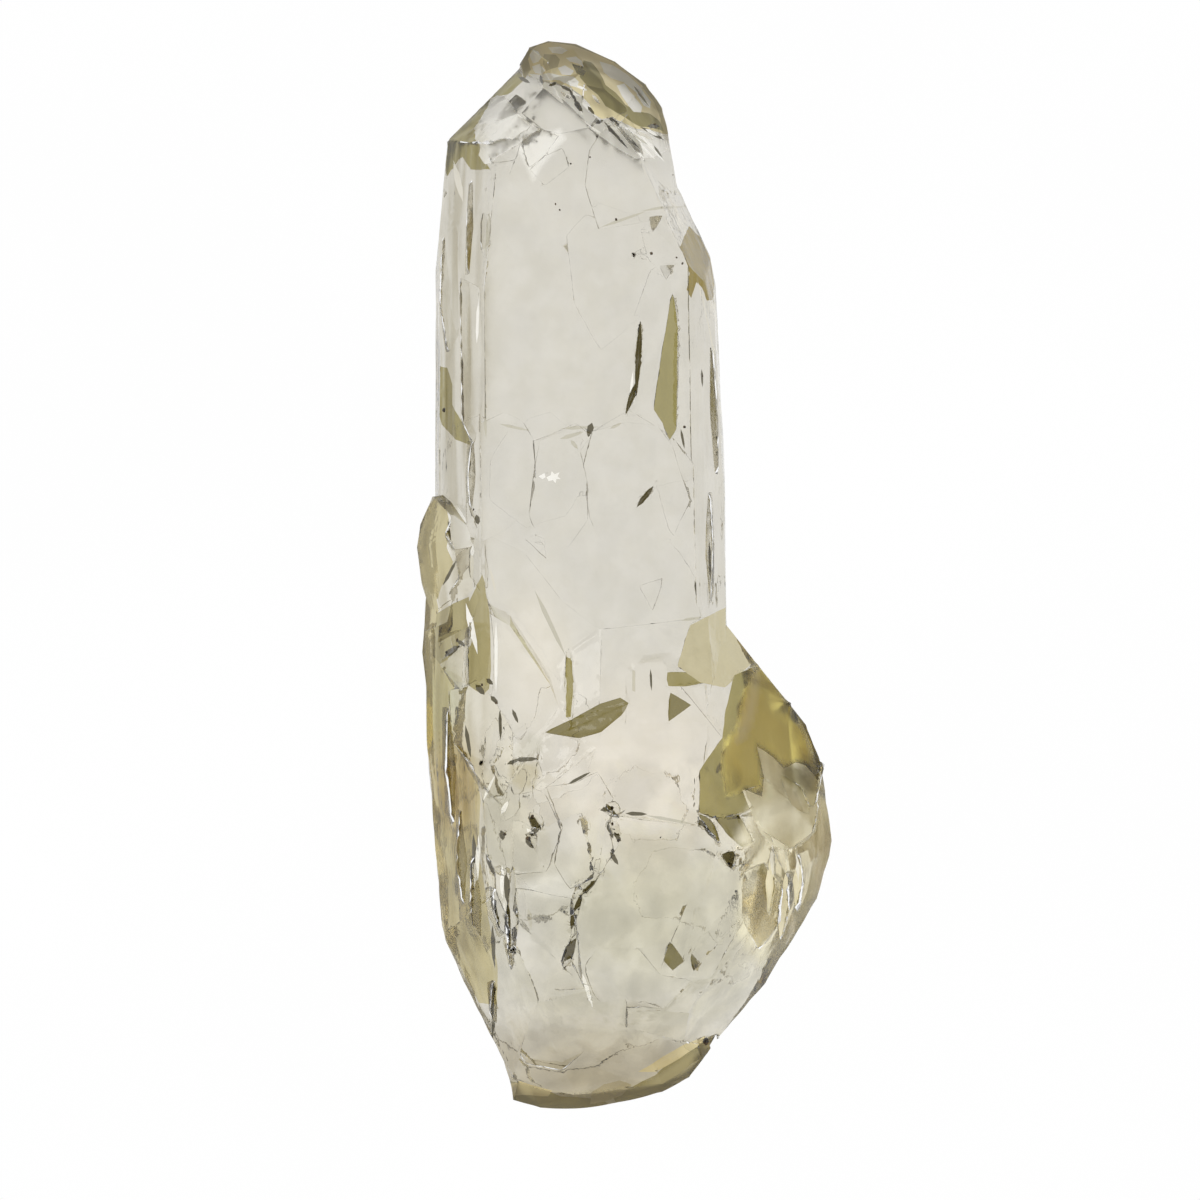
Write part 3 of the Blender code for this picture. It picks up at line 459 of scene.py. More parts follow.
STROKE_RUNS: tuple[tuple[Tint, tuple[StrokeRow, ...]], ...] = (
    (Tint.SEAM, (
        (-4.61, -11.47, -4.53, -12.8, 0.25), (-4.53, -12.45, -4.49, -15.24, 0.2),
        (-5.24, -12.41, -4.92, -13.71, 0.25), (-5.2, -13.63, -5.16, -15.39, 0.18),
        (-5.12, -15.98, -5.27, -18.29, 0.14), (-5.94, -10.06, -5.9, -12.02, 0.18),
        (-1.04, -11.75, -1.75, -12.45, 0.18), (-1.16, -11.55, -1.59, -11.98, 0.11),
        (-1.63, -12.29, -2.06, -13.2, 0.16), (-2.02, -12.84, -2.06, -13.75, 0.14),
        (-1.9, -14.06, -2.37, -15.08, 0.22), (-2.25, -8.14, -1.31, -7.63, 0.13),
        (-4.61, -7.35, -4.1, -7.12, 0.16), (-4.33, -7.16, -3.35, -7.12, 0.18),
        (-3.71, -9.35, -3.27, -9.82, 0.31), (-3.31, -9.71, -3.71, -10.14, 0.2),
        (-3.86, -10.18, -3.55, -10.61, 0.22), (-4.8, -9.9, -4.73, -10.29, 0.22),
        (-0.96, -9.12, -0.41, -9.04, 0.18), (-0.69, -8.88, -0.22, -9.43, 0.14),
        (-0.69, -9.55, -0.45, -10.22, 0.22), (-0.41, -9.94, -0.14, -10.33, 0.16),
        (-0.57, -10.73, -0.25, -11.24, 0.18), (0.02, -9.24, 0.88, -9.27, 0.16),
        (2.8, -9.35, 3.47, -10.25, 0.18), (-5.47, -10.8, -5.12, -11.71, 0.16),
        (-6.22, -5.82, -6.02, -7.12, 0.16), (-4.88, -5.2, -4.84, -6.45, 0.12),
        (-4.37, -5.2, -4.14, -5.75, 0.14), (-5.82, -4.25, -5.47, -4.65, 0.24),
        (-5.24, -4.69, -4.92, -5.0, 0.2), (-5.43, -4.02, -5.16, -4.25, 0.18),
        (-7.08, -3.16, -6.45, -2.73, 0.27), (-6.57, -2.53, -6.25, -2.76, 0.16),
        (-7.16, -0.41, -6.61, 0.61, 0.13), (-5.82, 2.37, -5.75, 1.98, 0.2),
        (-6.96, 2.18, -6.8, 1.35, 0.12), (2.73, -0.18, 2.84, -0.96, 0.1),
        (2.18, 5.71, 2.33, 4.92, 0.1), (3.04, 8.06, 3.08, 7.35, 0.1), (3.31, 1.39, 3.35, -0.18, 0.1),
        (1.0, -3.63, 1.04, -4.49, 0.09),
    )),
    (Tint.GREY, (
        (0.8, -9.31, 2.73, -9.67, 0.13), (-3.51, -0.57, -2.29, -3.16, 0.18),
        (2.18, -1.75, 3.08, -1.63, 0.12), (-0.96, 13.55, 0.84, 14.18, 0.12),
        (0.61, 14.18, 2.57, 14.53, 0.11), (-5.31, 14.14, -5.43, 12.29, 0.2),
        (-5.51, 6.88, -5.39, 5.31, 0.14), (-2.53, 5.71, -0.96, 5.78, 0.12),
        (-0.57, 5.71, -0.1, 5.94, 0.12), (-4.88, 5.9, -3.71, 5.63, 0.12),
        (-3.75, -12.92, -3.63, -13.75, 0.16), (-4.41, -14.61, -4.1, -14.69, 0.12),
    )),
    # Painted highlights: white strokes for glints along ridges and cracks.
    (Tint.PAINTED_LIGHT, (
        (-4.76, -11.24, -4.76, -12.57, 0.16), (-5.75, -10.1, -5.86, -12.25, 0.16),
        (-5.51, -8.73, -5.08, -7.78, 0.11), (-4.8, -9.27, -4.53, -8.76, 0.18),
        (-1.63, -15.47, -1.24, -16.8, 0.18), (-3.82, -9.82, -3.55, -10.14, 0.14),
        (-4.69, -12.61, -4.69, -13.9, 0.13),
    )),
    (Tint.PALE, ((-5.24, 0.3, -5.0, -0.73, 0.1),)),
    # Painted highlights: white strokes for glints along ridges and cracks.
    (Tint.PAINTED_LIGHT, (
        (-5.0, -1.82, -5.0, -4.57, 0.13), (-6.22, -1.08, -5.78, -3.08, 0.22),
        (5.75, -10.45, 5.78, -11.71, 0.18), (6.76, -10.69, 6.8, -11.94, 0.14),
        (6.53, -13.59, 6.41, -14.61, 0.13), (-6.96, -8.53, -6.84, -9.82, 0.12),
    )),
    (Tint.PALE, (
        (2.92, 11.47, 3.31, 9.82, 0.08), (3.27, 10.1, 3.63, 8.29, 0.08),
        (-6.76, 16.29, -6.37, 14.61, 0.24),
    )),
    # Painted highlights: white strokes for glints along ridges and cracks.
    (Tint.PAINTED_LIGHT, (
        (-5.75, 10.8, -5.82, 9.04, 0.13), (0.33, 7.98, 0.18, 6.49, 0.1),
        (-0.25, 17.47, 0.84, 16.14, 0.14), (0.25, 17.31, 1.27, 16.25, 0.12),
        (0.65, 17.27, 1.63, 16.22, 0.14),
    )),
    (Tint.SEAM, (
        (-0.84, 17.71, 0.14, 16.61, 0.12), (-0.41, 17.59, 0.61, 16.61, 0.12),
        (0.65, 17.55, 1.67, 17.08, 0.14), (1.2, 16.84, 1.55, 16.37, 0.1),
        (-4.18, 19.59, -3.71, 19.27, 0.16), (-3.31, 19.59, -3.2, 19.16, 0.14),
        (-2.96, 19.12, -2.65, 19.27, 0.12), (-2.53, 19.12, -2.1, 18.88, 0.13),
        (-2.22, 18.96, -1.86, 18.45, 0.13), (-1.98, 18.53, -1.63, 18.02, 0.2),
        (-1.43, 18.33, -1.16, 17.98, 0.14), (-1.12, 17.59, -0.8, 17.78, 0.16),
        (-0.69, 17.9, -0.1, 17.43, 0.14), (0.92, 17.59, 1.43, 17.63, 0.2),
    )),
    (Tint.OLIVE, ((0.37, 19.2, 1.0, 18.41, 0.09),)),
    # Painted highlights: white strokes for glints along ridges and cracks.
    (Tint.PAINTED_LIGHT, (
        (-1.9, 19.12, -1.43, 18.96, 0.12), (-2.53, 18.88, -2.14, 18.57, 0.12),
    )),
    (Tint.PALE, ((-1.27, 18.8, -0.96, 18.41, 0.12),)),
    # Painted highlight: a white stroke for a glint along a ridge.
    (Tint.PAINTED_LIGHT, ((-0.49, 17.71, 0.37, 16.84, 0.13),)),
    (Tint.PALE, ((0.45, 17.39, 1.2, 17.04, 0.14),)),
    # Painted highlight: a white stroke for a glint along a ridge.
    (Tint.PAINTED_LIGHT, ((0.84, 17.47, 1.39, 17.24, 0.14),)),
    (Tint.GREY, ((0.22, 17.31, 1.0, 16.84, 0.1),)),
    (Tint.SEAM, ((-1.27, 5.94, -1.43, 5.39, 0.26),)),
    (Tint.GREY, (
        (-2.53, 5.31, -1.59, 5.59, 0.16), (-2.1, 5.27, -1.82, 4.92, 0.16),
    )),
    (Tint.SEAM, (
        (0.62, 9.9, 0.44, 7.0, 0.2), (0.5, 7.6, 0.05, 6.3, 0.2), (0.47, 2.65, 1.12, 3.48, 0.16),
    )),
)

STROKES: tuple[Stroke, ...] = tuple(
    Stroke((x0, y0), (x1, y1), width, tint)
    for tint, rows in STROKE_RUNS
    for x0, y0, x1, y1, width in rows
)

ZONES: tuple[Zone, ...] = (
    Zone((-6.6, -8.2), 0.9, 2.0, (0.82, 0.70, 0.40)),
    Zone((0.8, -7.4), 4.2, 3.6, (1.12, 1.09, 1.06)),
    Zone((0.9, -13.0), 4.5, 3.4, (0.93, 0.925, 0.86)),
    Zone((-3.6, -3.2), 1.6, 2.8, (1.14, 1.12, 1.09)),
    Zone((-1.2, -19.0), 4.6, 2.2, (0.77, 0.73, 0.63)),
    Zone((6.4, -12.6), 1.8, 2.8, (0.92, 0.88, 0.76)),
    Zone((-4.2, -9.9), 1.4, 2.2, (0.93, 0.92, 0.87)),
    Zone((-6.4, 10.0), 1.1, 6.5, (0.93, 0.92, 0.88)),
    Zone((-7.2, -5.0), 0.9, 1.8, (0.88, 0.90, 0.76)),
    Zone((-6.0, -14.6), 0.8, 1.6, (0.80, 0.78, 0.72)),
)

GRAINS: tuple[tuple[float, float, float], ...] = (
    (-1.08, 17.08, 0.043), (-1.35, 16.29, 0.039), (-2.1, 16.02, 0.039), (-2.69, 14.45, 0.047),
    (-2.53, 14.22, 0.035), (-0.33, 13.86, 0.047), (0.33, 12.49, 0.086), (1.04, 12.53, 0.063),
    (2.25, 12.14, 0.051), (2.02, 12.37, 0.039), (1.9, 15.71, 0.039), (-7.08, 6.49, 0.102),
    (3.2, -18.3, 0.118), (-0.49, -9.04, 0.078), (-0.49, -9.67, 0.078),
    (-0.25, -10.29, 0.059), (-3.59, -9.39, 0.078), (-3.75, -10.22, 0.078), (-4.65, -10.06, 0.063),
    (-6.53, -2.53, 0.071), (-6.96, -3.0, 0.071), (-1.67, 19.9, 0.063), (1.2, 17.67, 0.063),
    (3.04, 7.78, 0.047), (2.33, 5.78, 0.055), (-5.9, 2.57, 0.063), (-5.55, -4.25, 0.059),
    (-5.0, -4.96, 0.055), (4.06, -11.24, 0.078), (1.39, -10.18, 0.039),
)


def smooth_step(low: float, high: float, value: np.ndarray) -> np.ndarray:
    """Rises smoothly from 0 at one value to 1 at another.

    Args:
        low: The value that gives 0.
        high: The value that gives 1.
        value: The values to map.

    Returns:
        An array of the same shape.
    """
    part = np.clip((value - low) / (high - low), 0.0, 1.0)
    return part * part * (3.0 - 2.0 * part)


def inside(outline: tuple[Point, ...], points: np.ndarray) -> np.ndarray:
    """Tells which points lie inside an outline in plan.

    Args:
        outline: The corners of the outline.
        points: One row for each point, with x and y first.

    Returns:
        One truth value for each point.
    """
    x, y = points[:, 0], points[:, 1]
    within = np.zeros(len(points), bool)
    for (x0, y0), (x1, y1) in zip(outline, outline[1:] + outline[:1]):
        if y0 == y1:
            continue
        crosses = (y0 > y) != (y1 > y)
        within ^= crosses & (x < (x1 - x0) * (y - y0) / (y1 - y0) + x0)
    return within


def depth_inside(outline: tuple[Point, ...], points: np.ndarray) -> np.ndarray:
    """Gives the distance of points from an outline in plan, negative outside it.

    Args:
        outline: The corners of the outline.
        points: One row for each point, with x and y first.

    Returns:
        One distance for each point.
    """
    nearest = np.full(len(points), np.inf)
    for start, end in zip(outline, outline[1:] + outline[:1]):
        along = np.subtract(end, start)
        offset = points[:, :2] - start
        share = np.clip(offset @ along / (along @ along), 0.0, 1.0)
        nearest = np.minimum(nearest, np.linalg.norm(offset - share[:, None] * along, axis=1))
    return np.where(inside(outline, points), nearest, -nearest)


def ease(low: float, high: float, value: float) -> float:
    """Rises smoothly from 0 at one value to 1 at another.

    Args:
        low: The value that gives 0.
        high: The value that gives 1.
        value: The value to map.

    Returns:
        The share reached, 0 to 1.
    """
    part = min(max((value - low) / (high - low), 0.0), 1.0)
    return part * part * (3.0 - 2.0 * part)


class FaceGrid:
    """Finds the faces of a mesh near a place in plan, also while they are being cut."""

    def __init__(self, faces: list[bmesh.types.BMFace], pitch: float = 0.5) -> None:
        """Sorts the faces into square cells.

        Args:
            faces: The faces.
            pitch: The width of a cell in millimetres.
        """
        self.pitch = pitch
        self.cells: dict[tuple[int, int], list[bmesh.types.BMFace]] = {}
        self.add(faces)

    def add(self, faces: list[bmesh.types.BMFace]) -> None:
        """Sorts in more faces."""
        for face in faces:
            middle = face.calc_center_median()
            key = (int(middle.x // self.pitch), int(middle.y // self.pitch))
            self.cells.setdefault(key, []).append(face)

    def near(self, start: Point, end: Point, margin: float = 0.06) -> list[bmesh.types.BMFace]:
        """Gives the faces that reach into the box of a line.

        Args:
            start: One end of the line.
            end: The other end.
            margin: How far the box is widened.

        Returns:
            The faces.
        """
        low = [min(pair) - margin for pair in zip(start, end)]
        high = [max(pair) + margin for pair in zip(start, end)]
        columns = range(int(low[0] // self.pitch) - 1, int(high[0] // self.pitch) + 2)
        rows = range(int(low[1] // self.pitch) - 1, int(high[1] // self.pitch) + 2)
        found = {}
        for key in ((column, row) for column in columns for row in rows):
            for face in self.cells.get(key, ()):
                if face.is_valid and self._reaches(face, low, high):
                    found[face] = None
        return list(found)

    @staticmethod
    def _reaches(face: bmesh.types.BMFace, low: list[float], high: list[float]) -> bool:
        """Tells whether a face reaches into a box in plan."""
        xs = [corner.co.x for corner in face.verts]
        ys = [corner.co.y for corner in face.verts]
        return min(xs) < high[0] and max(xs) > low[0] and min(ys) < high[1] and max(ys) > low[1]

    def score(self, start: Point, end: Point, slack: float = 0.004) -> None:
        """Cuts the faces along a line in plan, so that edges of the mesh lie on it.

        Args:
            start: One end of the line.
            end: The other end.
            slack: How near the line a corner counts as lying on it.
        """
        along = (Vector(end) - Vector(start)).normalized()
        near = self.near(start, end)
        sides = {
            corner: (corner.co.x - start[0]) * along.y - (corner.co.y - start[1]) * along.x
            for face in near
            for corner in face.verts
        }
        on_line = {corner for corner, side in sides.items() if abs(side) < slack}
        touched = dict.fromkeys(near)
        for edge in dict.fromkeys(edge for face in near for edge in face.edges):
            one, other = edge.verts
            if one in on_line or other in on_line or sides[one] * sides[other] > 0.0:
                continue
            share = sides[one] / (sides[one] - sides[other])
            corner = bmesh.utils.edge_split(edge, one, share)[1]
            on_line.add(corner)
            touched.update(dict.fromkeys(corner.link_faces))
        for face in touched:
            self._split(face, on_line)

    def _split(self, face: bmesh.types.BMFace, on_line: set[bmesh.types.BMVert]) -> None:
        """Splits a face into triangles, first between its two corners on the line.

        Args:
            face: The face.
            on_line: The corners that lie on the line.
        """
        pieces = [face]
        while pieces:
            piece = pieces.pop()
            corners = list(piece.verts)
            count = len(corners)
            if count == 3:
                self.add([piece])
                continue
            marked = [index for index, corner in enumerate(corners) if corner in on_line]
            if len(marked) == 2 and marked[1] - marked[0] not in (1, count - 1):
                first, second = marked
            else:
                first = max(range(count), key=lambda index: self._ear(corners, index))
                first, second = (first - 1) % count, (first + 1) % count
            fresh = bmesh.utils.face_split(piece, corners[first], corners[second])[0]
            pieces += [piece, fresh]

    @staticmethod
    def _ear(corners: list[bmesh.types.BMVert], index: int) -> float:
        """Gives how good it is to split off a corner: the smaller area that is left or cut off."""
        count = len(corners)
        before, tip, after = (corners[(index + step) % count].co for step in (-1, 0, 1))
        beyond = corners[(index + 2) % count].co
        cut_off = (before - tip).cross(after - tip).length
        left = (before - beyond).cross(after - beyond).length
        return min(cut_off, left)


def metric_mesh(mesh: bmesh.types.BMesh, name: str) -> bpy.types.Mesh:
    """Turns a mesh in millimetres into mesh data in metres, and frees it.

    Args:
        mesh: The mesh.
        name: The name of the data.

    Returns:
        The data.
    """
    mesh.transform(Matrix.Scale(MM, 4))
    data = bpy.data.meshes.new(name)
    mesh.to_mesh(data)
    mesh.free()
    return data


def add_object(name: str, data: bpy.types.ID) -> bpy.types.Object:
    """Makes an object and links it to the scene.

    Args:
        name: The object's name.
        data: Its mesh, lamp or camera.

    Returns:
        The object.
    """
    thing = bpy.data.objects.new(name, data)
    bpy.context.scene.collection.objects.link(thing)
    return thing


def add_material(name: str) -> tuple[bpy.types.Material, bpy.types.Node]:
    """Makes a material with a plain surface.

    Args:
        name: The material's name.

    Returns:
        The material and its surface shader.
    """
    material = bpy.data.materials.new(name)
    material.use_nodes = True
    return material, material.node_tree.nodes["Principled BSDF"]


class NodeGroup:
    """A shader node group with named inputs and outputs, which more than one material uses."""

    def __init__(self, name: str, inputs: dict[str, float], outputs: tuple[str, ...]) -> None:
        """Makes an empty group.

        Args:
            name: The group's name.
            inputs: Each input's name and value.
            outputs: The names of the outputs.
        """
        self.tree = bpy.data.node_groups.new(name, "ShaderNodeTree")
        for label, value in inputs.items():
            socket = self.tree.interface.new_socket(
                label, in_out="INPUT", socket_type="NodeSocketFloat"
            )
            socket.default_value = value
        for label in outputs:
            self.tree.interface.new_socket(label, in_out="OUTPUT", socket_type="NodeSocketFloat")
        self.entry = self.tree.nodes.new("NodeGroupInput")
        self.exit = self.tree.nodes.new("NodeGroupOutput")

    def add(self, kind: str, **settings: object) -> bpy.types.Node:
        """Adds a node with settings."""
        return add_node(self.tree, kind, **settings)

    def link(self, source: bpy.types.NodeSocket, target: bpy.types.NodeSocket) -> None:
        """Links two sockets of the group."""
        self.tree.links.new(source, target)


def add_node(tree: bpy.types.NodeTree, kind: str, **settings: object) -> bpy.types.Node:
    """Adds a node to a tree.

    Args:
        tree: The tree that gets the node.
        kind: The node's type name.
        settings: Properties of the node and their values.

    Returns:
        The new node.
    """
    node = tree.nodes.new(kind)
    for label, value in settings.items():
        setattr(node, label, value)
    return node


def millimetres(tree: bpy.types.NodeTree, stretch: Colour) -> bpy.types.NodeSocket:
    """Adds nodes that give the place on the piece in millimetres, stretched along the axes.

    Args:
        tree: The tree that gets the nodes.
        stretch: How much faster than in millimetres each coordinate runs.

    Returns:
        The socket that gives the coordinates.
    """
    place = add_node(tree, "ShaderNodeTexCoord")
    scaled = add_node(tree, "ShaderNodeVectorMath", operation="MULTIPLY")
    scaled.inputs[1].default_value = tuple(axis / MM for axis in stretch)
    tree.links.new(place.outputs["Object"], scaled.inputs[0])
    return scaled.outputs[0]


def growth_lines() -> bpy.types.NodeTree:
    """Builds the group of fine lines along the crystal's axis.

    Returns:
        The group, whose output Height is 0 to 1.
    """
    group = NodeGroup("growth_lines", {"Scale": 1.0, "Detail": 2.0}, ("Height",))
    lines = group.add("ShaderNodeTexNoise")
    lines.inputs["Roughness"].default_value = 0.6
    group.link(millimetres(group.tree, (3.0, 0.16, 3.0)), lines.inputs["Vector"])
    group.link(group.entry.outputs["Scale"], lines.inputs["Scale"])
    group.link(group.entry.outputs["Detail"], lines.inputs["Detail"])
    group.link(lines.outputs["Fac"], group.exit.inputs["Height"])
    return group.tree


def mottle() -> bpy.types.NodeTree:
    """Builds the group of uneven cloudy patches.

    Returns:
        The group, whose output Mask is 0 to 1.
    """
    group = NodeGroup("mottle", {"Scale": 1.0, "Low": 0.35, "High": 0.65}, ("Mask",))
    cloud = group.add("ShaderNodeTexNoise")
    cloud.inputs["Detail"].default_value = 2.0
    spread = group.add("ShaderNodeMapRange", interpolation_type="SMOOTHSTEP")
    group.link(millimetres(group.tree, (1.0, 1.0, 1.0)), cloud.inputs["Vector"])
    group.link(group.entry.outputs["Scale"], cloud.inputs["Scale"])
    group.link(cloud.outputs["Fac"], spread.inputs["Value"])
    group.link(group.entry.outputs["Low"], spread.inputs["From Min"])
    group.link(group.entry.outputs["High"], spread.inputs["From Max"])
    group.link(spread.outputs["Result"], group.exit.inputs["Mask"])
    return group.tree


def etch_pits() -> bpy.types.NodeTree:
    """Builds the group of small shallow etched dents.

    Returns:
        The group, whose output Height is 0 to 1.
    """
    group = NodeGroup("etch_pits", {"Scale": 1.0}, ("Height",))
    dents = group.add("ShaderNodeTexNoise")
    dents.inputs["Detail"].default_value = 3.0
    group.link(millimetres(group.tree, (1.0, 0.6, 1.0)), dents.inputs["Vector"])
    group.link(group.entry.outputs["Scale"], dents.inputs["Scale"])
    group.link(dents.outputs["Fac"], group.exit.inputs["Height"])
    return group.tree


class Workshop:
    """Builds the shared node groups once and places them in materials."""

    def __init__(self) -> None:
        """Builds the groups."""
        self.groups = {"lines": growth_lines(), "mottle": mottle(), "pits": etch_pits()}

    def place(self, tree: bpy.types.NodeTree, group: str, **values: float) -> bpy.types.Node:
        """Places a group in a material.

        Args:
            tree: The material's node tree.
            group: The group's short name.
            values: The inputs and their values.

        Returns:
            The group node.
        """
        node = add_node(tree, "ShaderNodeGroup", node_tree=self.groups[group])
        for label, value in values.items():
            node.inputs[label].default_value = value
        return node

    def cloud(
        self, surface: bpy.types.Node, socket: str, colours: tuple[Colour, Colour], **values: float
    ) -> bpy.types.NodeSocket:
        """Gives a shader's socket uneven cloudy patches of two colours.

        Args:
            surface: The shader.
            socket: The name of its socket.
            colours: The two colours.
            values: The inputs of the mottle group and their values.

        Returns:
            The socket of the mask, 0 to 1.
        """
        tree = surface.id_data
        mask = self.place(tree, "mottle", **values).outputs["Mask"]
        blend = add_node(tree, "ShaderNodeMix", data_type="RGBA")
        for label, colour in zip("AB", colours):
            blend.inputs[label].default_value = (*colour, 1.0)
        tree.links.new(mask, blend.inputs["Factor"])
        tree.links.new(blend.outputs["Result"], surface.inputs[socket])
        return mask


@dataclass(frozen=True)
class BerylFinish:
    """Clear golden beryl: its refraction, its tint by depth, its gloss and its fine relief."""

    refraction: float = 1.575
    absorbed: Colour = (8.0, 10.5, 18.5)
    headroom: float = 1.25
    cloudy: Colour = (0.96, 0.955, 0.93)
    polish: float = 0.035
    frosted: float = 0.55
    line_height: float = 0.02
    pit_height: float = 0.016

    def material(self, workshop: Workshop) -> bpy.types.Material:
        """Builds the material.

        Args:
            workshop: The shared node groups.

        Returns:
            The material.
        """
        material, surface = add_material("heliodor_beryl")
        tree = material.node_tree
        link = tree.links.new
        surface.inputs["Metallic"].default_value = 0.0
        surface.inputs["IOR"].default_value = self.refraction
        surface.inputs["Transmission Weight"].default_value = 1.0

        tint = add_node(tree, "ShaderNodeAttribute", attribute_name="tint")
        cloud = workshop.place(tree, "mottle", Scale=1.1, Low=0.35, High=0.65)
        blend = add_node(tree, "ShaderNodeMix", data_type="RGBA", blend_type="MULTIPLY")
        blend.inputs["B"].default_value = (*self.cloudy, 1.0)
        link(cloud.outputs["Mask"], blend.inputs["Factor"])
        link(tint.outputs["Color"], blend.inputs["A"])
        link(blend.outputs["Result"], surface.inputs["Base Color"])

        relief = add_node(tree, "ShaderNodeAttribute", attribute_name="relief")
        parts = add_node(tree, "ShaderNodeSeparateColor")
        link(relief.outputs["Color"], parts.inputs["Color"])
        frost = add_node(tree, "ShaderNodeMapRange")
        frost.inputs["To Min"].default_value = self.polish
        frost.inputs["To Max"].default_value = self.frosted
        link(parts.outputs["Red"], frost.inputs["Value"])
        link(frost.outputs["Result"], surface.inputs["Roughness"])

        lines = workshop.place(tree, "lines", Scale=1.0, Detail=2.0)
        pits = workshop.place(tree, "pits", Scale=1.8)
        lined = self._masked(tree, lines.outputs["Height"], parts.outputs["Green"], self.line_height)
        pitted = self._masked(tree, pits.outputs["Height"], parts.outputs["Blue"], self.pit_height)
        relief_height = add_node(tree, "ShaderNodeMath", operation="ADD")
        link(lined, relief_height.inputs[0])
        link(pitted, relief_height.inputs[1])
        bump = add_node(tree, "ShaderNodeBump")
        bump.inputs["Distance"].default_value = MM
        link(relief_height.outputs[0], bump.inputs["Height"])
        link(bump.outputs["Normal"], surface.inputs["Normal"])

        body = add_node(tree, "ShaderNodeVolumeAbsorption")
        density = self.headroom * max(self.absorbed)
        body.inputs["Density"].default_value = density
        body.inputs["Color"].default_value = (*(1.0 - lost / density for lost in self.absorbed), 1.0)
        link(body.outputs["Volume"], tree.nodes["Material Output"].inputs["Volume"])
        return material

    @staticmethod
    def _masked(
        tree: bpy.types.NodeTree,
        height: bpy.types.NodeSocket,
        mask: bpy.types.NodeSocket,
        depth: float,
    ) -> bpy.types.NodeSocket:
        """Adds nodes that scale a relief and show it only where a mask lets it.

        Args:
            tree: The material's node tree.
            height: The relief, 0 to 1.
            mask: Where it shows, 0 to 1.
            depth: Its full height in millimetres.

        Returns:
            The socket of the masked height.
        """
        scaled = add_node(tree, "ShaderNodeMath", operation="MULTIPLY")
        scaled.inputs[1].default_value = depth
        masked = add_node(tree, "ShaderNodeMath", operation="MULTIPLY")
        tree.links.new(height, scaled.inputs[0])
        tree.links.new(scaled.outputs[0], masked.inputs[0])
        tree.links.new(mask, masked.inputs[1])
        return masked.outputs[0]


@dataclass(frozen=True)
class GrainFinish:
    """Dull dark brown mineral grains."""

    dark: Colour = (0.018, 0.014, 0.009)
    rusty: Colour = (0.09, 0.055, 0.022)
    smoothest: float = 0.55
    roughest: float = 0.85

    def material(self, workshop: Workshop) -> bpy.types.Material:
        """Builds the material.

        Args:
            workshop: The shared node groups.

        Returns:
            The material.
        """
        material, surface = add_material("dark_mineral")
        colours = (self.dark, self.rusty)
        mask = workshop.cloud(surface, "Base Color", colours, Scale=9.0, Low=0.4, High=0.6)
        tree = material.node_tree
        rough = add_node(tree, "ShaderNodeMapRange")
        rough.inputs["To Min"].default_value = self.smoothest
        rough.inputs["To Max"].default_value = self.roughest
        tree.links.new(mask, rough.inputs["Value"])
        tree.links.new(rough.outputs["Result"], surface.inputs["Roughness"])
        return material


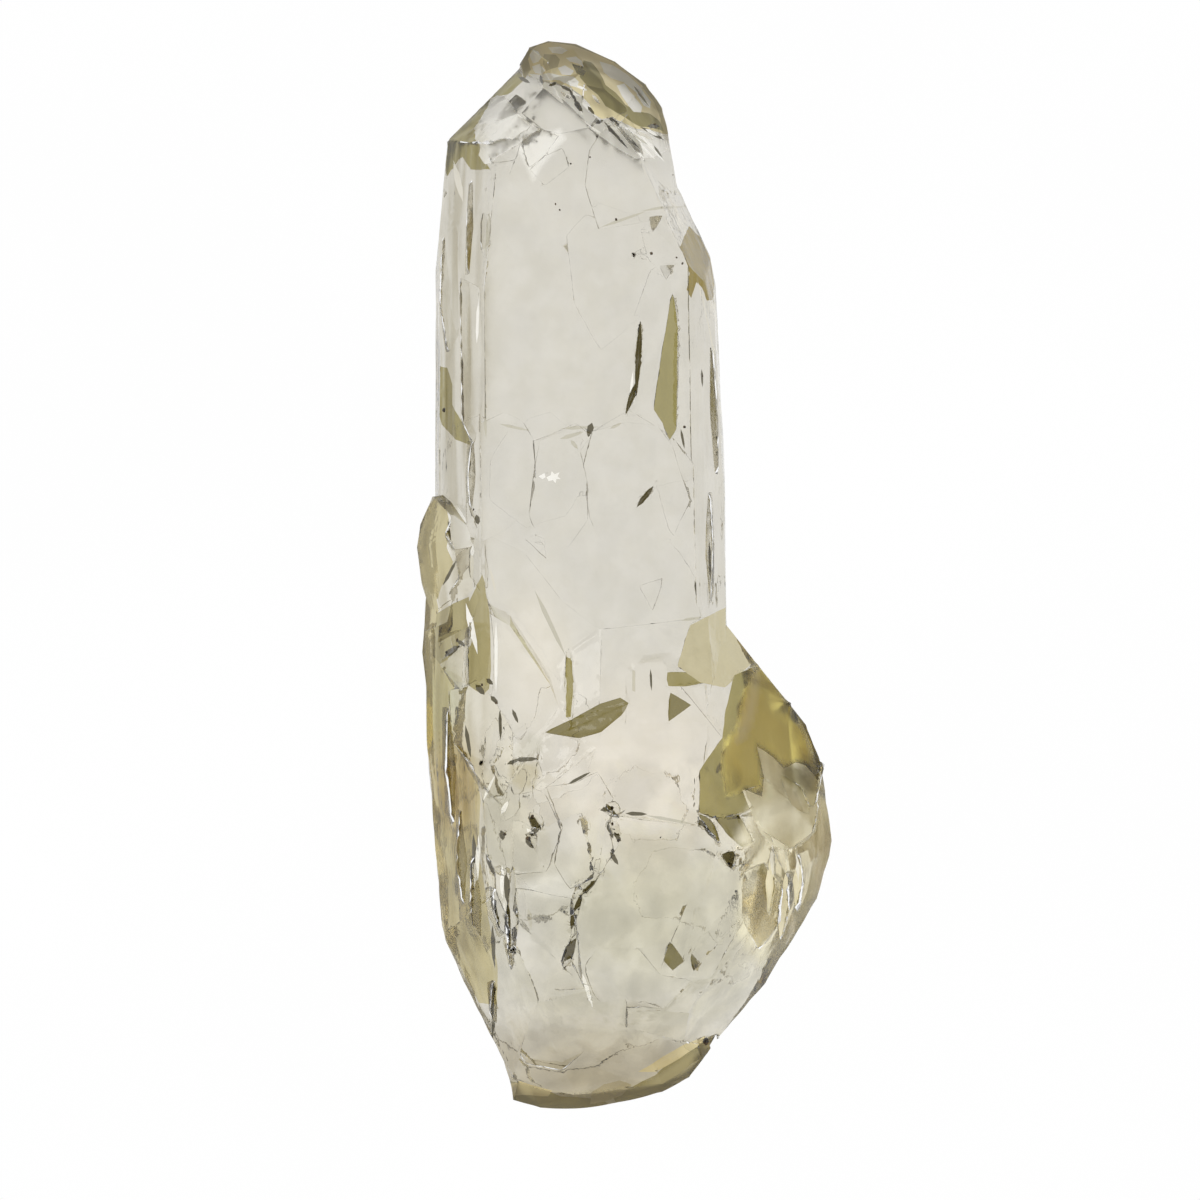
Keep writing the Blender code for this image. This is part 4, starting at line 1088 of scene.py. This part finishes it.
@dataclass
class CrystalSkin:
    """The finely divided copy of the crystal's solid that takes the place of it.

    A range gives where an effect starts and where it is full, in millimetres or as a share.
    """

    front_edge: float = 0.28
    side_edge: float = 0.36
    back_edge: float = 0.6
    cap_edge: float = 0.18
    steep: float = 0.5
    cap_start: Point = (15.0, 2.0)
    rounds: int = 7
    weld: float = 0.0001
    crease: float = math.radians(24.0)
    back_crease: float = math.radians(4.0)
    widened: float = 0.45
    widened_right: Range = (1.6, 2.4)
    widened_back: Range = (2.0, 0.0)
    widened_low: Range = (-2.6, -1.2)
    widened_high: Range = (13.8, 12.4)
    gap: Point = (6.48, -5.01)
    gap_front: float = 3.0
    gap_slope: Point = (-0.5, -0.29)
    gap_pinch: Range = (0.5, 1.0)
    shoulder: tuple[float, float, float] = (-4.6, 15.6, 2.8)
    flat_left: float = -4.9
    flat_right: float = 4.2
    flat_upper_right: float = 2.3
    flat_upper: float = -2.0
    flat_length: Range = (-18.5, 16.5)
    worn_above: float = 5.6
    wear: int = 3
    break_wear: int = 25
    rub: float = 0.5
    upright: float = 0.2
    flank_lean: Range = (0.97, 0.7)
    flank_tip: Range = (0.75, 0.35)
    dent_depth: float = 0.045
    dent_rate: float = 0.45
    line_depth: float = 0.05
    line_rate: float = 1.5
    line_rate_along: float = 0.11
    lump_depth: float = 0.08
    lump_rate: float = 0.75
    lumpy: Range = (-5.5, -8.0)
    ripple_depth: float = 0.03
    ripple_pitch: float = 0.62
    ripple_wander: float = 0.5
    ripple_middle: Point = (-2.5, 16.7)
    rippled_across: Range = (-2.6, -0.8)
    rippled_along: Range = (15.6, 17.4)
    hackle_depth: float = 0.06
    hackle_rate: float = 1.5
    hackle_middle: Point = (-4.7, 17.4)
    hackled_up: Range = (2.5, 4.5)
    hackled_round: Range = (1.9, 1.1)
    lined_tip: Range = (0.8, 0.4)
    least_pits: float = 0.2
    pitted: Range = (-4.0, -8.0)
    frosted: Range = (14.8, 16.0)
    cap_frost: float = 0.45
    break_frost: float = 0.35
    small_plane: Range = (1.2, 0.4)
    overhang: float = -0.3
    under_tint: Colour = (0.92, 0.9, 0.8)
    streak_share: float = 0.26
    veil_share: float = 0.025
    lower_veil_share: float = 0.075

    def build(self, solid: bpy.types.Object) -> bpy.types.Object:
        """Divides, carves and tints a copy of the solid.

        Args:
            solid: The CAD node, which isn't changed.

        Returns:
            The new piece.
        """
        mesh = bmesh.new()
        mesh.from_mesh(solid.data)
        mesh.transform(Matrix.Scale(1.0 / MM, 4))
        bmesh.ops.remove_doubles(mesh, verts=mesh.verts, dist=self.weld)
        low, high = self._span(mesh)
        facets = self._number_facets(mesh)
        self._divide(mesh, facets)
        self._score_all(mesh, facets)
        self._mark(mesh, facets)
        self._crease(mesh, facets)
        self._reshape(mesh)
        self._soften(mesh)
        self._carve(mesh, facets, low, high)
        data = metric_mesh(mesh, "crystal_skin")
        self._colour(data, facets)
        return add_object("crystal_skin", data)

    @staticmethod
    def _span(mesh: bmesh.types.BMesh) -> tuple[Vector, Vector]:
        """The lowest and the highest corner of the mesh."""
        places = np.array([corner.co for corner in mesh.verts])
        return Vector(places.min(0)), Vector(places.max(0))

    def _score_all(self, mesh: bmesh.types.BMesh, facets: np.ndarray) -> None:
        """Cuts the front along the edges of the sharp patches and of the strokes.

        Args:
            mesh: The divided mesh in millimetres.
            facets: The facets' directions and the areas of their planes.
        """
        layer = mesh.faces.layers.int["facet"]
        front = (facets[:, 2] > 0.05).tolist()
        grid = FaceGrid([face for face in mesh.faces if front[face[layer]]])
        for outline, _, _ in self._marks():
            for start, end in zip(outline, outline[1:] + outline[:1]):
                grid.score(start, end)

    @staticmethod
    def _marks() -> list[tuple[tuple[Point, ...], Tint, float]]:
        """Lists the outline, the tint and the frost of each sharp patch and each stroke."""
        patches = [patch for patch in PATCHES.values() if patch.soft == 0.0]
        marks = [(patch.outline, patch.tint, patch.frost) for patch in patches]
        return marks + [(stroke.outline(), stroke.tint, 0.0) for stroke in STROKES]

    def _mark(self, mesh: bmesh.types.BMesh, facets: np.ndarray) -> None:
        """Writes on each front face the number of the sharp patch or stroke that it lies in.

        Args:
            mesh: The cut mesh, not yet carved.
            facets: The facets' directions and the areas of their planes.
        """
        facet, mark = (mesh.faces.layers.int[name] for name in ("facet", "mark"))
        front = (facets[:, 2] > self.overhang).tolist()
        faces = [face for face in mesh.faces if front[face[facet]]]
        middles = np.array([face.calc_center_median() for face in faces])
        numbers = np.zeros(len(faces), int)
        for number, (outline, _, _) in enumerate(self._marks(), 1):
            numbers[inside(outline, middles)] = number
        for face, number in zip(faces, numbers.tolist()):
            face[mark] = number

    def _reshape(self, mesh: bmesh.types.BMesh) -> None:
        """Widens the back under the upper right edge, and pinches shut a gap in the swelling.

        Without this the right side face shows through the front as a dark strip, and the gap as
        a white spot.

        Args:
            mesh: The cut mesh, not yet carved.
        """
        gap = Vector(self.gap)
        slope_x, slope_y = self.gap_slope
        for corner in mesh.verts:
            place = corner.co
            right = ease(*self.widened_right, place.x) * ease(*self.widened_back, place.z)
            right = self.widened * right * ease(*self.widened_low, place.y)
            place.x += right * ease(*self.widened_high, place.y)
            away = place.xy - gap
            if away.length < self.gap_pinch[1] and place.z > self.gap_front:
                move = away * (ease(*self.gap_pinch, away.length) - 1.0)
                corner.co += Vector((move.x, move.y, slope_x * move.x + slope_y * move.y))

    def _soften(self, mesh: bmesh.types.BMesh) -> None:
        """Wears down low steps and the break on the left, and blunts the edges beside the break.

        Args:
            mesh: The cut mesh, not yet carved.
        """
        worn = [corner for corner in mesh.verts if self._flat(corner.co)]
        broken = [corner for corner in mesh.verts if self._broken(corner.co) > 0.0]
        for corners, times in ((worn, self.wear), (broken, self.break_wear)):
            for _ in range(times):
                bmesh.ops.smooth_vert(mesh, verts=corners, factor=self.rub, use_axis_z=True)
        shoulder = [corner for corner in mesh.verts if self._shoulder(corner.co)]
        axes = {"use_axis_x": True, "use_axis_y": True, "use_axis_z": True}
        for _ in range(self.wear):
            bmesh.ops.smooth_vert(mesh, verts=shoulder, factor=self.rub, **axes)

    def _shoulder(self, place: Vector) -> bool:
        """Tells whether a place is on the left shoulder, where the edges are blunt."""
        x, y, z = self.shoulder
        return place.x < x and place.y > y and place.z > z

    def _flat(self, place: Vector) -> bool:
        """Tells whether a place is on the flat middle of the front."""
        right = self.flat_upper_right if place.y > self.flat_upper else self.flat_right
        if place.z <= self.worn_above or not self.flat_left < place.x < right:
            return False
        return self.flat_length[0] < place.y < self.flat_length[1]

    def _crease(self, mesh: bmesh.types.BMesh, facets: np.ndarray) -> None:
        """Marks the edges between facets that meet at an angle as sharp, and the rest as smooth.

        Args:
            mesh: The cut mesh.
            facets: The facets' directions and the areas of their planes.
        """
        layer = mesh.faces.layers.int["facet"]
        looks = [Vector(row[:3]) for row in facets]
        front_limit, back_limit = math.cos(self.crease), math.cos(self.back_crease)
        for face in mesh.faces:
            face.smooth = True
        for edge in mesh.edges:
            one, other = (looks[face[layer]] for face in edge.link_faces)
            behind = min(one.z, other.z) < -self.upright
            blunt = self._shoulder(edge.verts[0].co)
            edge.smooth = blunt or one.dot(other) > (back_limit if behind else front_limit)

    @staticmethod
    def _number_facets(mesh: bmesh.types.BMesh) -> np.ndarray:
        """Numbers the solid's faces, and measures the plane that each lies in.

        Args:
            mesh: The mesh before it is divided.

        Returns:
            The direction and the area of each face's plane, one row for each number.
        """
        mesh.faces.layers.int.new("mark")
        layer = mesh.faces.layers.int.new("facet")
        mesh.normal_update()
        for index, face in enumerate(mesh.faces):
            face[layer] = index
        areas: dict[bmesh.types.BMFace, float] = {}
        for first in mesh.faces:
            if first in areas:
                continue
            plane = {first: None}
            waiting = [first]
            while waiting:
                for edge in waiting.pop().edges:
                    for other in edge.link_faces:
                        if other not in plane and other.normal.dot(first.normal) > SAME_PLANE:
                            plane[other] = None
                            waiting.append(other)
            area = sum(face.calc_area() for face in plane)
            areas.update(dict.fromkeys(plane, area))
        return np.array([(*face.normal, areas[face]) for face in mesh.faces])

    def _divide(self, mesh: bmesh.types.BMesh, facets: np.ndarray) -> None:
        """Halves long edges until none is longer than its limit.

        Args:
            mesh: The mesh in millimetres.
            facets: The facets' directions and the areas of their planes.
        """
        rises = facets[:, 2].tolist()
        layer = mesh.faces.layers.int["facet"]
        for _ in range(self.rounds):
            long = [edge for edge in mesh.edges if edge.calc_length() > self._limit(edge, layer, rises)]
            bmesh.ops.subdivide_edges(mesh, edges=long, cuts=1)
            many = [face for face in mesh.faces if len(face.verts) > 3]
            bmesh.ops.triangulate(mesh, faces=many, quad_method="SHORT_EDGE", ngon_method="BEAUTY")

    def _limit(
        self, edge: bmesh.types.BMEdge, layer: bmesh.types.BMLayerItem, rises: list[float]
    ) -> float:
        """Gives the longest that an edge may stay.

        Args:
            edge: The edge.
            layer: The layer of the facets' numbers.
            rises: How far each facet looks up, -1 to 1.

        Returns:
            The length in millimetres.
        """
        rise = max(rises[face[layer]] for face in edge.link_faces)
        place = edge.verts[0].co
        if rise < -self.steep:
            return self.back_edge
        if place.y > self.cap_start[0] and place.z > self.cap_start[1]:
            return self.cap_edge
        return self.front_edge if rise > self.steep else self.side_edge

    def _carve(
        self, mesh: bmesh.types.BMesh, facets: np.ndarray, low: Vector, high: Vector
    ) -> None:
        """Moves the corners in and out to give growth lines, dents, lumps and ripples.

        Args:
            mesh: The divided mesh in millimetres.
            facets: The facets' directions and the areas of their planes.
            low: The lowest corner that the piece may reach.
            high: The highest corner that the piece may reach.
        """
        layer = mesh.faces.layers.int["facet"]
        mesh.normal_update()
        for corner in mesh.verts:
            place = corner.co
            leans = [abs(facets[face[layer]][2]) for face in corner.link_faces]
            lean = min(leans) if min(leans) < self.upright else max(leans)
            tip = max(abs(facets[face[layer]][1]) for face in corner.link_faces)
            flank = ease(*self.flank_lean, lean) * ease(*self.flank_tip, tip)
            move = -self.dent_depth * self._dents(place)
            move -= flank * self.line_depth * self._lines(place)
            move -= self._lower(place) * self.lump_depth * self._lumps(place)
            move -= self._cap(place) * self.ripple_depth * self._ripples(place)
            move -= self._broken(place) * self.hackle_depth * self._hackle(place)
            corner.co = place + corner.normal * move
        for corner in mesh.verts:
            for axis in range(3):
                corner.co[axis] = min(max(corner.co[axis], low[axis]), high[axis])
        mesh.normal_update()

    def _dents(self, place: Vector) -> float:
        """Broad shallow dents, 0 to 1."""
        return 0.5 + 0.5 * noise.noise(place * self.dent_rate)

    def _lines(self, place: Vector) -> float:
        """Growth lines along the axis, 0 to 1."""
        across, along = self.line_rate, self.line_rate_along
        stretched = Vector((place.x * across, place.y * along, place.z * across))
        return 1.0 - abs(noise.fractal(stretched, 0.8, 2.1, 3))

    def _lower(self, place: Vector) -> float:
        """How far a place is into the lumpy lower trunk, 0 to 1."""
        return ease(*self.lumpy, place.y)

    def _lumps(self, place: Vector) -> float:
        """Rounded cells about a millimetre across, 0 to 1."""
        nearest = noise.voronoi(place * self.lump_rate)[0][0]
        return min(nearest * nearest * 1.4, 1.0)

    def _cap(self, place: Vector) -> float:
        """How far a place is into the broken cap, 0 to 1."""
        return ease(*self.rippled_across, place.x) * ease(*self.rippled_along, place.y)

    def _ripples(self, place: Vector) -> float:
        """Curved ripples round a point on the left of the cap, 0 to 1."""
        reach = math.dist(place.xy, self.ripple_middle)
        wander = self.ripple_wander * noise.noise(place * 0.7)
        return 0.5 + 0.5 * math.sin(math.tau * (reach + wander) / self.ripple_pitch)

    def _broken(self, place: Vector) -> float:
        """How far a place is into the hackly break on the left shoulder, 0 to 1."""
        away = math.dist(place.xy, self.hackle_middle)
        return ease(*self.hackled_up, place.z) * ease(*self.hackled_round, away)

    def _hackle(self, place: Vector) -> float:
        """Jagged splinters, 0 to 1."""
        turned = Vector((place.x + place.y, (place.y - place.x) * 0.45, place.z))
        turned *= self.hackle_rate
        return min(abs(noise.fractal(turned, 0.6, 2.2, 3)) * 1.6, 1.0)

    def _colour(self, data: bpy.types.Mesh, facets: np.ndarray) -> None:
        """Writes the tint and the relief of every face corner.

        Args:
            data: The finished mesh in metres.
            facets: The facets' directions and the areas of their planes.
        """
        count = len(data.polygons)
        middles = np.empty(count * 3)
        data.polygons.foreach_get("center", middles)
        middles = middles.reshape(-1, 3) / MM
        looks = facets[self._take(data, "facet")]
        marks = self._take(data, "mark")
        owners = np.repeat(np.arange(count), 3)
        corners = np.empty(len(data.loops), int)
        data.loops.foreach_get("vertex_index", corners)
        places = np.empty(len(data.vertices) * 3)
        data.vertices.foreach_get("co", places)
        places = places.reshape(-1, 3) / MM
        front = looks[:, 2] > self.overhang

        tints, frost = self._sharp_tints(looks, marks)
        colours = tints[owners] * self._streak_tints(places)[corners]
        places = places[corners]
        colours = self._zone_tints(colours, places, front[owners])
        stroked = (marks > len(self._marks()) - len(STROKES))[owners]
        colours[stroked] = tints[owners][stroked]
        self._write(data, "tint", np.clip(colours, 0.0, 1.0) ** 2)

        lines = smooth_step(*self.flank_lean, np.abs(looks[:, 2]))
        lines *= smooth_step(*self.lined_tip, np.abs(looks[:, 1]))
        lower = smooth_step(*self.pitted, middles[:, 1])
        cap = smooth_step(*self.frosted, middles[:, 1])
        small = smooth_step(*self.small_plane, looks[:, 3]) * front
        frost = np.maximum(frost, np.maximum(self.cap_frost * cap, self.break_frost * small))
        for patch in PATCHES.values():
            if patch.soft > 0.0 and patch.frost > 0.0:
                frost = np.maximum(frost, patch.frost * inside(patch.outline, middles))
        pits = self.least_pits + (1.0 - self.least_pits) * lower
        self._write(data, "relief", np.stack([frost, lines, pits], 1)[owners])

    def _sharp_tints(self, looks: np.ndarray, marks: np.ndarray) -> tuple[np.ndarray, np.ndarray]:
        """Gives each face the tint of its direction or of its sharp patch or stroke.

        Args:
            looks: The direction of each face's facet.
            marks: The number of each face's patch or stroke, or 0.

        Returns:
            The tint and the frost of each face.
        """
        rise = smooth_step(-0.5, 0.0, looks[:, 2])[:, None]
        under = smooth_step(-0.95, -0.6, looks[:, 2])[:, None]
        tints = 1.0 - under * (1.0 - np.array(self.under_tint))
        tints = tints + rise * (np.array(Tint.FRONT.value) - tints)
        frost = np.zeros(len(looks))
        for number, (_, tint, rough) in enumerate(self._marks(), 1):
            chosen = marks == number
            tints[chosen] = tint.value
            frost[chosen] = rough
        return tints, frost

    @staticmethod
    def _take(data: bpy.types.Mesh, name: str) -> np.ndarray:
        """Reads a whole number from each face, and removes it from the mesh.

        Args:
            data: The mesh.
            name: The attribute's name.

        Returns:
            The numbers.
        """
        numbers = np.empty(len(data.polygons), int)
        data.attributes[name].data.foreach_get("value", numbers)
        data.attributes.remove(data.attributes[name])
        return numbers

    def _streak_tints(self, places: np.ndarray) -> np.ndarray:
        """Gives each corner of the mesh the streaks of the sides and the veils of the lower trunk.

        Args:
            places: The corners in millimetres.

        Returns:
            A multiplier of the tint for each corner.
        """
        factors = np.ones((len(places), 3))
        for index, (x, y, z) in enumerate(places.tolist()):
            edge = ease(4.6, 5.6, abs(x + 0.5)) if y > 3.0 else ease(5.0, 6.0, abs(x))
            streak = noise.fractal(Vector((x * 1.7, y * 0.13, z * 1.7)), 0.7, 2.1, 2)
            dark = self.streak_share * edge * ease(-0.25, 0.45, streak)
            veil = noise.fractal(Vector((x * 0.9, y * 0.7, z * 0.9 + 7.0)), 0.9, 2.2, 3)
            cloudy = self.veil_share + self.lower_veil_share * self._lower(Vector((x, y, z)))
            shade = 1.0 - dark + cloudy * max(min(veil * 2.0, 1.0), -1.0)
            factors[index] = (shade, shade - 0.1 * dark, shade - 0.4 * dark)
        return factors

    @staticmethod
    def _zone_tints(colours: np.ndarray, places: np.ndarray, front: np.ndarray) -> np.ndarray:
        """Adds the soft zones and the soft patches.

        Args:
            colours: The tint of each face corner.
            places: The place of each face corner in millimetres.
            front: Which face corners are on faces that look up.

        Returns:
            The new tints.
        """
        for zone in ZONES:
            across = (places[:, 0] - zone.middle[0]) / zone.across
            along = (places[:, 1] - zone.middle[1]) / zone.along
            amount = np.exp(-((across**2 + along**2) ** 1.5))[:, None]
            colours = colours * (1.0 - amount * (1.0 - np.array(zone.tint)))
        for patch in PATCHES.values():
            if patch.soft > 0.0:
                amount = smooth_step(-patch.soft, patch.soft, depth_inside(patch.outline, places))
                amount *= patch.share * front
                colours = colours + amount[:, None] * (np.array(patch.tint.value) - colours)
        return colours

    @staticmethod
    def _write(data: bpy.types.Mesh, name: str, values: np.ndarray) -> None:
        """Stores three values for each face corner as a colour attribute.

        Args:
            data: The mesh.
            name: The attribute's name.
            values: One row of three for each face corner.
        """
        layer = data.color_attributes.new(name, "FLOAT_COLOR", "CORNER")
        full = np.ones((len(values), 4))
        full[:, :3] = values
        layer.data.foreach_set("color", full.ravel())


@dataclass
class DarkGrains:
    """Small dark mineral grains, half sunk in the crystal's front."""

    sunk: float = 0.35
    unevenness: float = 0.35
    flatness: float = 0.7
    widths: Range = (0.6, 1.3)
    seed: int = 11
    ray_start: float = 0.02

    def build(self, skin: bpy.types.Object) -> bpy.types.Object:
        """Sets every grain on the skin below its place.

        Args:
            skin: The crystal's skin.

        Returns:
            The grains as one piece.
        """
        draw = random.Random(self.seed)
        surface = BVHTree.FromPolygons(
            [tuple(corner.co) for corner in skin.data.vertices],
            [tuple(face.vertices) for face in skin.data.polygons],
        )
        mesh = bmesh.new()
        for x, y, radius in GRAINS:
            start = Vector((x * MM, y * MM, self.ray_start))
            place, normal, _, _ = surface.ray_cast(start, Vector((0.0, 0.0, -1.0)))
            if place is None:
                continue
            self._grain(mesh, place / MM - normal * radius * self.sunk, radius, draw)
        return add_object("dark_grains", metric_mesh(mesh, "dark_grains"))

    def _grain(
        self, mesh: bmesh.types.BMesh, place: Vector, radius: float, draw: random.Random
    ) -> None:
        """Adds one angular grain.

        Args:
            mesh: The mesh that gets the grain.
            place: Its middle in millimetres.
            radius: Its radius in millimetres.
            draw: The source of chance.
        """
        ball = bmesh.ops.create_icosphere(mesh, subdivisions=2, radius=1.0)["verts"]
        turn = Matrix.Rotation(draw.uniform(0.0, math.tau), 4, "Z")
        wide = radius * draw.uniform(*self.widths)
        size = Matrix.Diagonal((radius, wide, radius * self.flatness, 1.0))
        offset = Vector((draw.uniform(0.0, 50.0), 0.0, 0.0))
        for corner in ball:
            corner.co *= 1.0 + self.unevenness * noise.noise(corner.co * 1.3 + offset)
            corner.co = Matrix.Translation(place) @ turn @ size @ corner.co


@dataclass
class Studio:
    """The pale floor, the soft light from all round and above, and the camera."""

    floor_half: float = 1.5
    floor_drop: float = 0.00002
    floor_glow: float = 1.0
    floor_white: Colour = (1.0, 1.0, 1.0)
    floor_cloudy: Colour = (0.992, 0.992, 0.992)
    horizon: float = 0.72
    zenith: float = 1.5
    rise: Range = (0.35, 0.8)
    lamp_place: tuple[float, float, float] = (-0.42, 0.34, 0.55)
    lamp_size: float = 0.3
    lamp_power: float = 0.4
    view_middle: Point = (-0.96, -0.96)
    view_height: float = 4.0
    view_width: float = 1200.0 / 25.5
    lens: float = 300.0
    film: float = 36.0

    def build(self, workshop: Workshop) -> None:
        """Builds the floor, the light and the camera.

        Args:
            workshop: The shared node groups.
        """
        self._floor(workshop)
        self._sky()
        self._lamp()
        self._camera()
        bpy.context.scene.view_settings.view_transform = "Standard"

    def _floor(self, workshop: Workshop) -> None:
        """Adds the floor just under the crystal, lit evenly so that no shadow lies on it."""
        half, below = self.floor_half, -self.floor_drop
        data = bpy.data.meshes.new("floor")
        corners = [(x * half, y * half, below) for x, y in ((-1, -1), (1, -1), (1, 1), (-1, 1))]
        data.from_pydata(corners, [], [(0, 1, 2, 3)])
        material, surface = add_material("pale_floor")
        surface.inputs["Base Color"].default_value = (0.0, 0.0, 0.0, 1.0)
        surface.inputs["Specular IOR Level"].default_value = 0.0
        surface.inputs["Emission Strength"].default_value = self.floor_glow
        colours = (self.floor_white, self.floor_cloudy)
        workshop.cloud(surface, "Emission Color", colours, Scale=0.05, Low=0.2, High=0.8)
        data.materials.append(material)
        add_object("floor", data)

    def _sky(self) -> None:
        """Sets a plain white surround that is brightest overhead."""
        world = bpy.data.worlds.new("soft_surround")
        bpy.context.scene.world = world
        world.use_nodes = True
        tree = world.node_tree
        place = add_node(tree, "ShaderNodeTexCoord")
        parts = add_node(tree, "ShaderNodeSeparateXYZ")
        rise = add_node(tree, "ShaderNodeMapRange", interpolation_type="SMOOTHSTEP")
        rise.inputs["From Min"].default_value = self.rise[0]
        rise.inputs["From Max"].default_value = self.rise[1]
        rise.inputs["To Min"].default_value = self.horizon
        rise.inputs["To Max"].default_value = self.zenith
        tree.links.new(place.outputs["Generated"], parts.inputs[0])
        tree.links.new(parts.outputs["Z"], rise.inputs["Value"])
        tree.links.new(rise.outputs["Result"], tree.nodes["Background"].inputs["Strength"])
        tree.nodes["Background"].inputs["Color"].default_value = (1.0, 1.0, 1.0, 1.0)

    def _lamp(self) -> None:
        """Adds a soft lamp on the upper left, which glints on broken places."""
        light = bpy.data.lights.new("soft_lamp", "AREA")
        light.size = self.lamp_size
        light.energy = self.lamp_power
        lamp = add_object("soft_lamp", light)
        lamp.location = self.lamp_place
        lamp.rotation_euler = Vector(self.lamp_place).to_track_quat("Z", "Y").to_euler()

    def _camera(self) -> None:
        """Sets the camera straight above, as far away as the picture's width asks."""
        camera = add_object("camera", bpy.data.cameras.new("camera"))
        camera.data.lens = self.lens
        camera.data.sensor_width = self.film
        camera.data.clip_start = 0.001
        away = self.view_width * self.lens / self.film
        x, y = self.view_middle
        camera.location = (x * MM, y * MM, (self.view_height + away) * MM)
        bpy.context.scene.camera = camera


def main() -> None:
    """Builds the crystal's skin, its grains and the studio, and reports each piece."""
    logging.basicConfig(level=logging.INFO, format="%(name)s: %(message)s")
    workshop = Workshop()

    skin = CrystalSkin().build(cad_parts[NODE])
    skin.data.materials.append(BerylFinish().material(workshop))
    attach(skin, BODY)
    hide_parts(NODE)
    LOG.info("%s has %d faces", skin.name, len(skin.data.polygons))

    grains = DarkGrains().build(skin)
    grains.data.materials.append(GrainFinish().material(workshop))
    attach(grains, BODY)
    LOG.info("%s has %d faces", grains.name, len(grains.data.polygons))

    Studio().build(workshop)


if __name__ == "__main__":
    main()
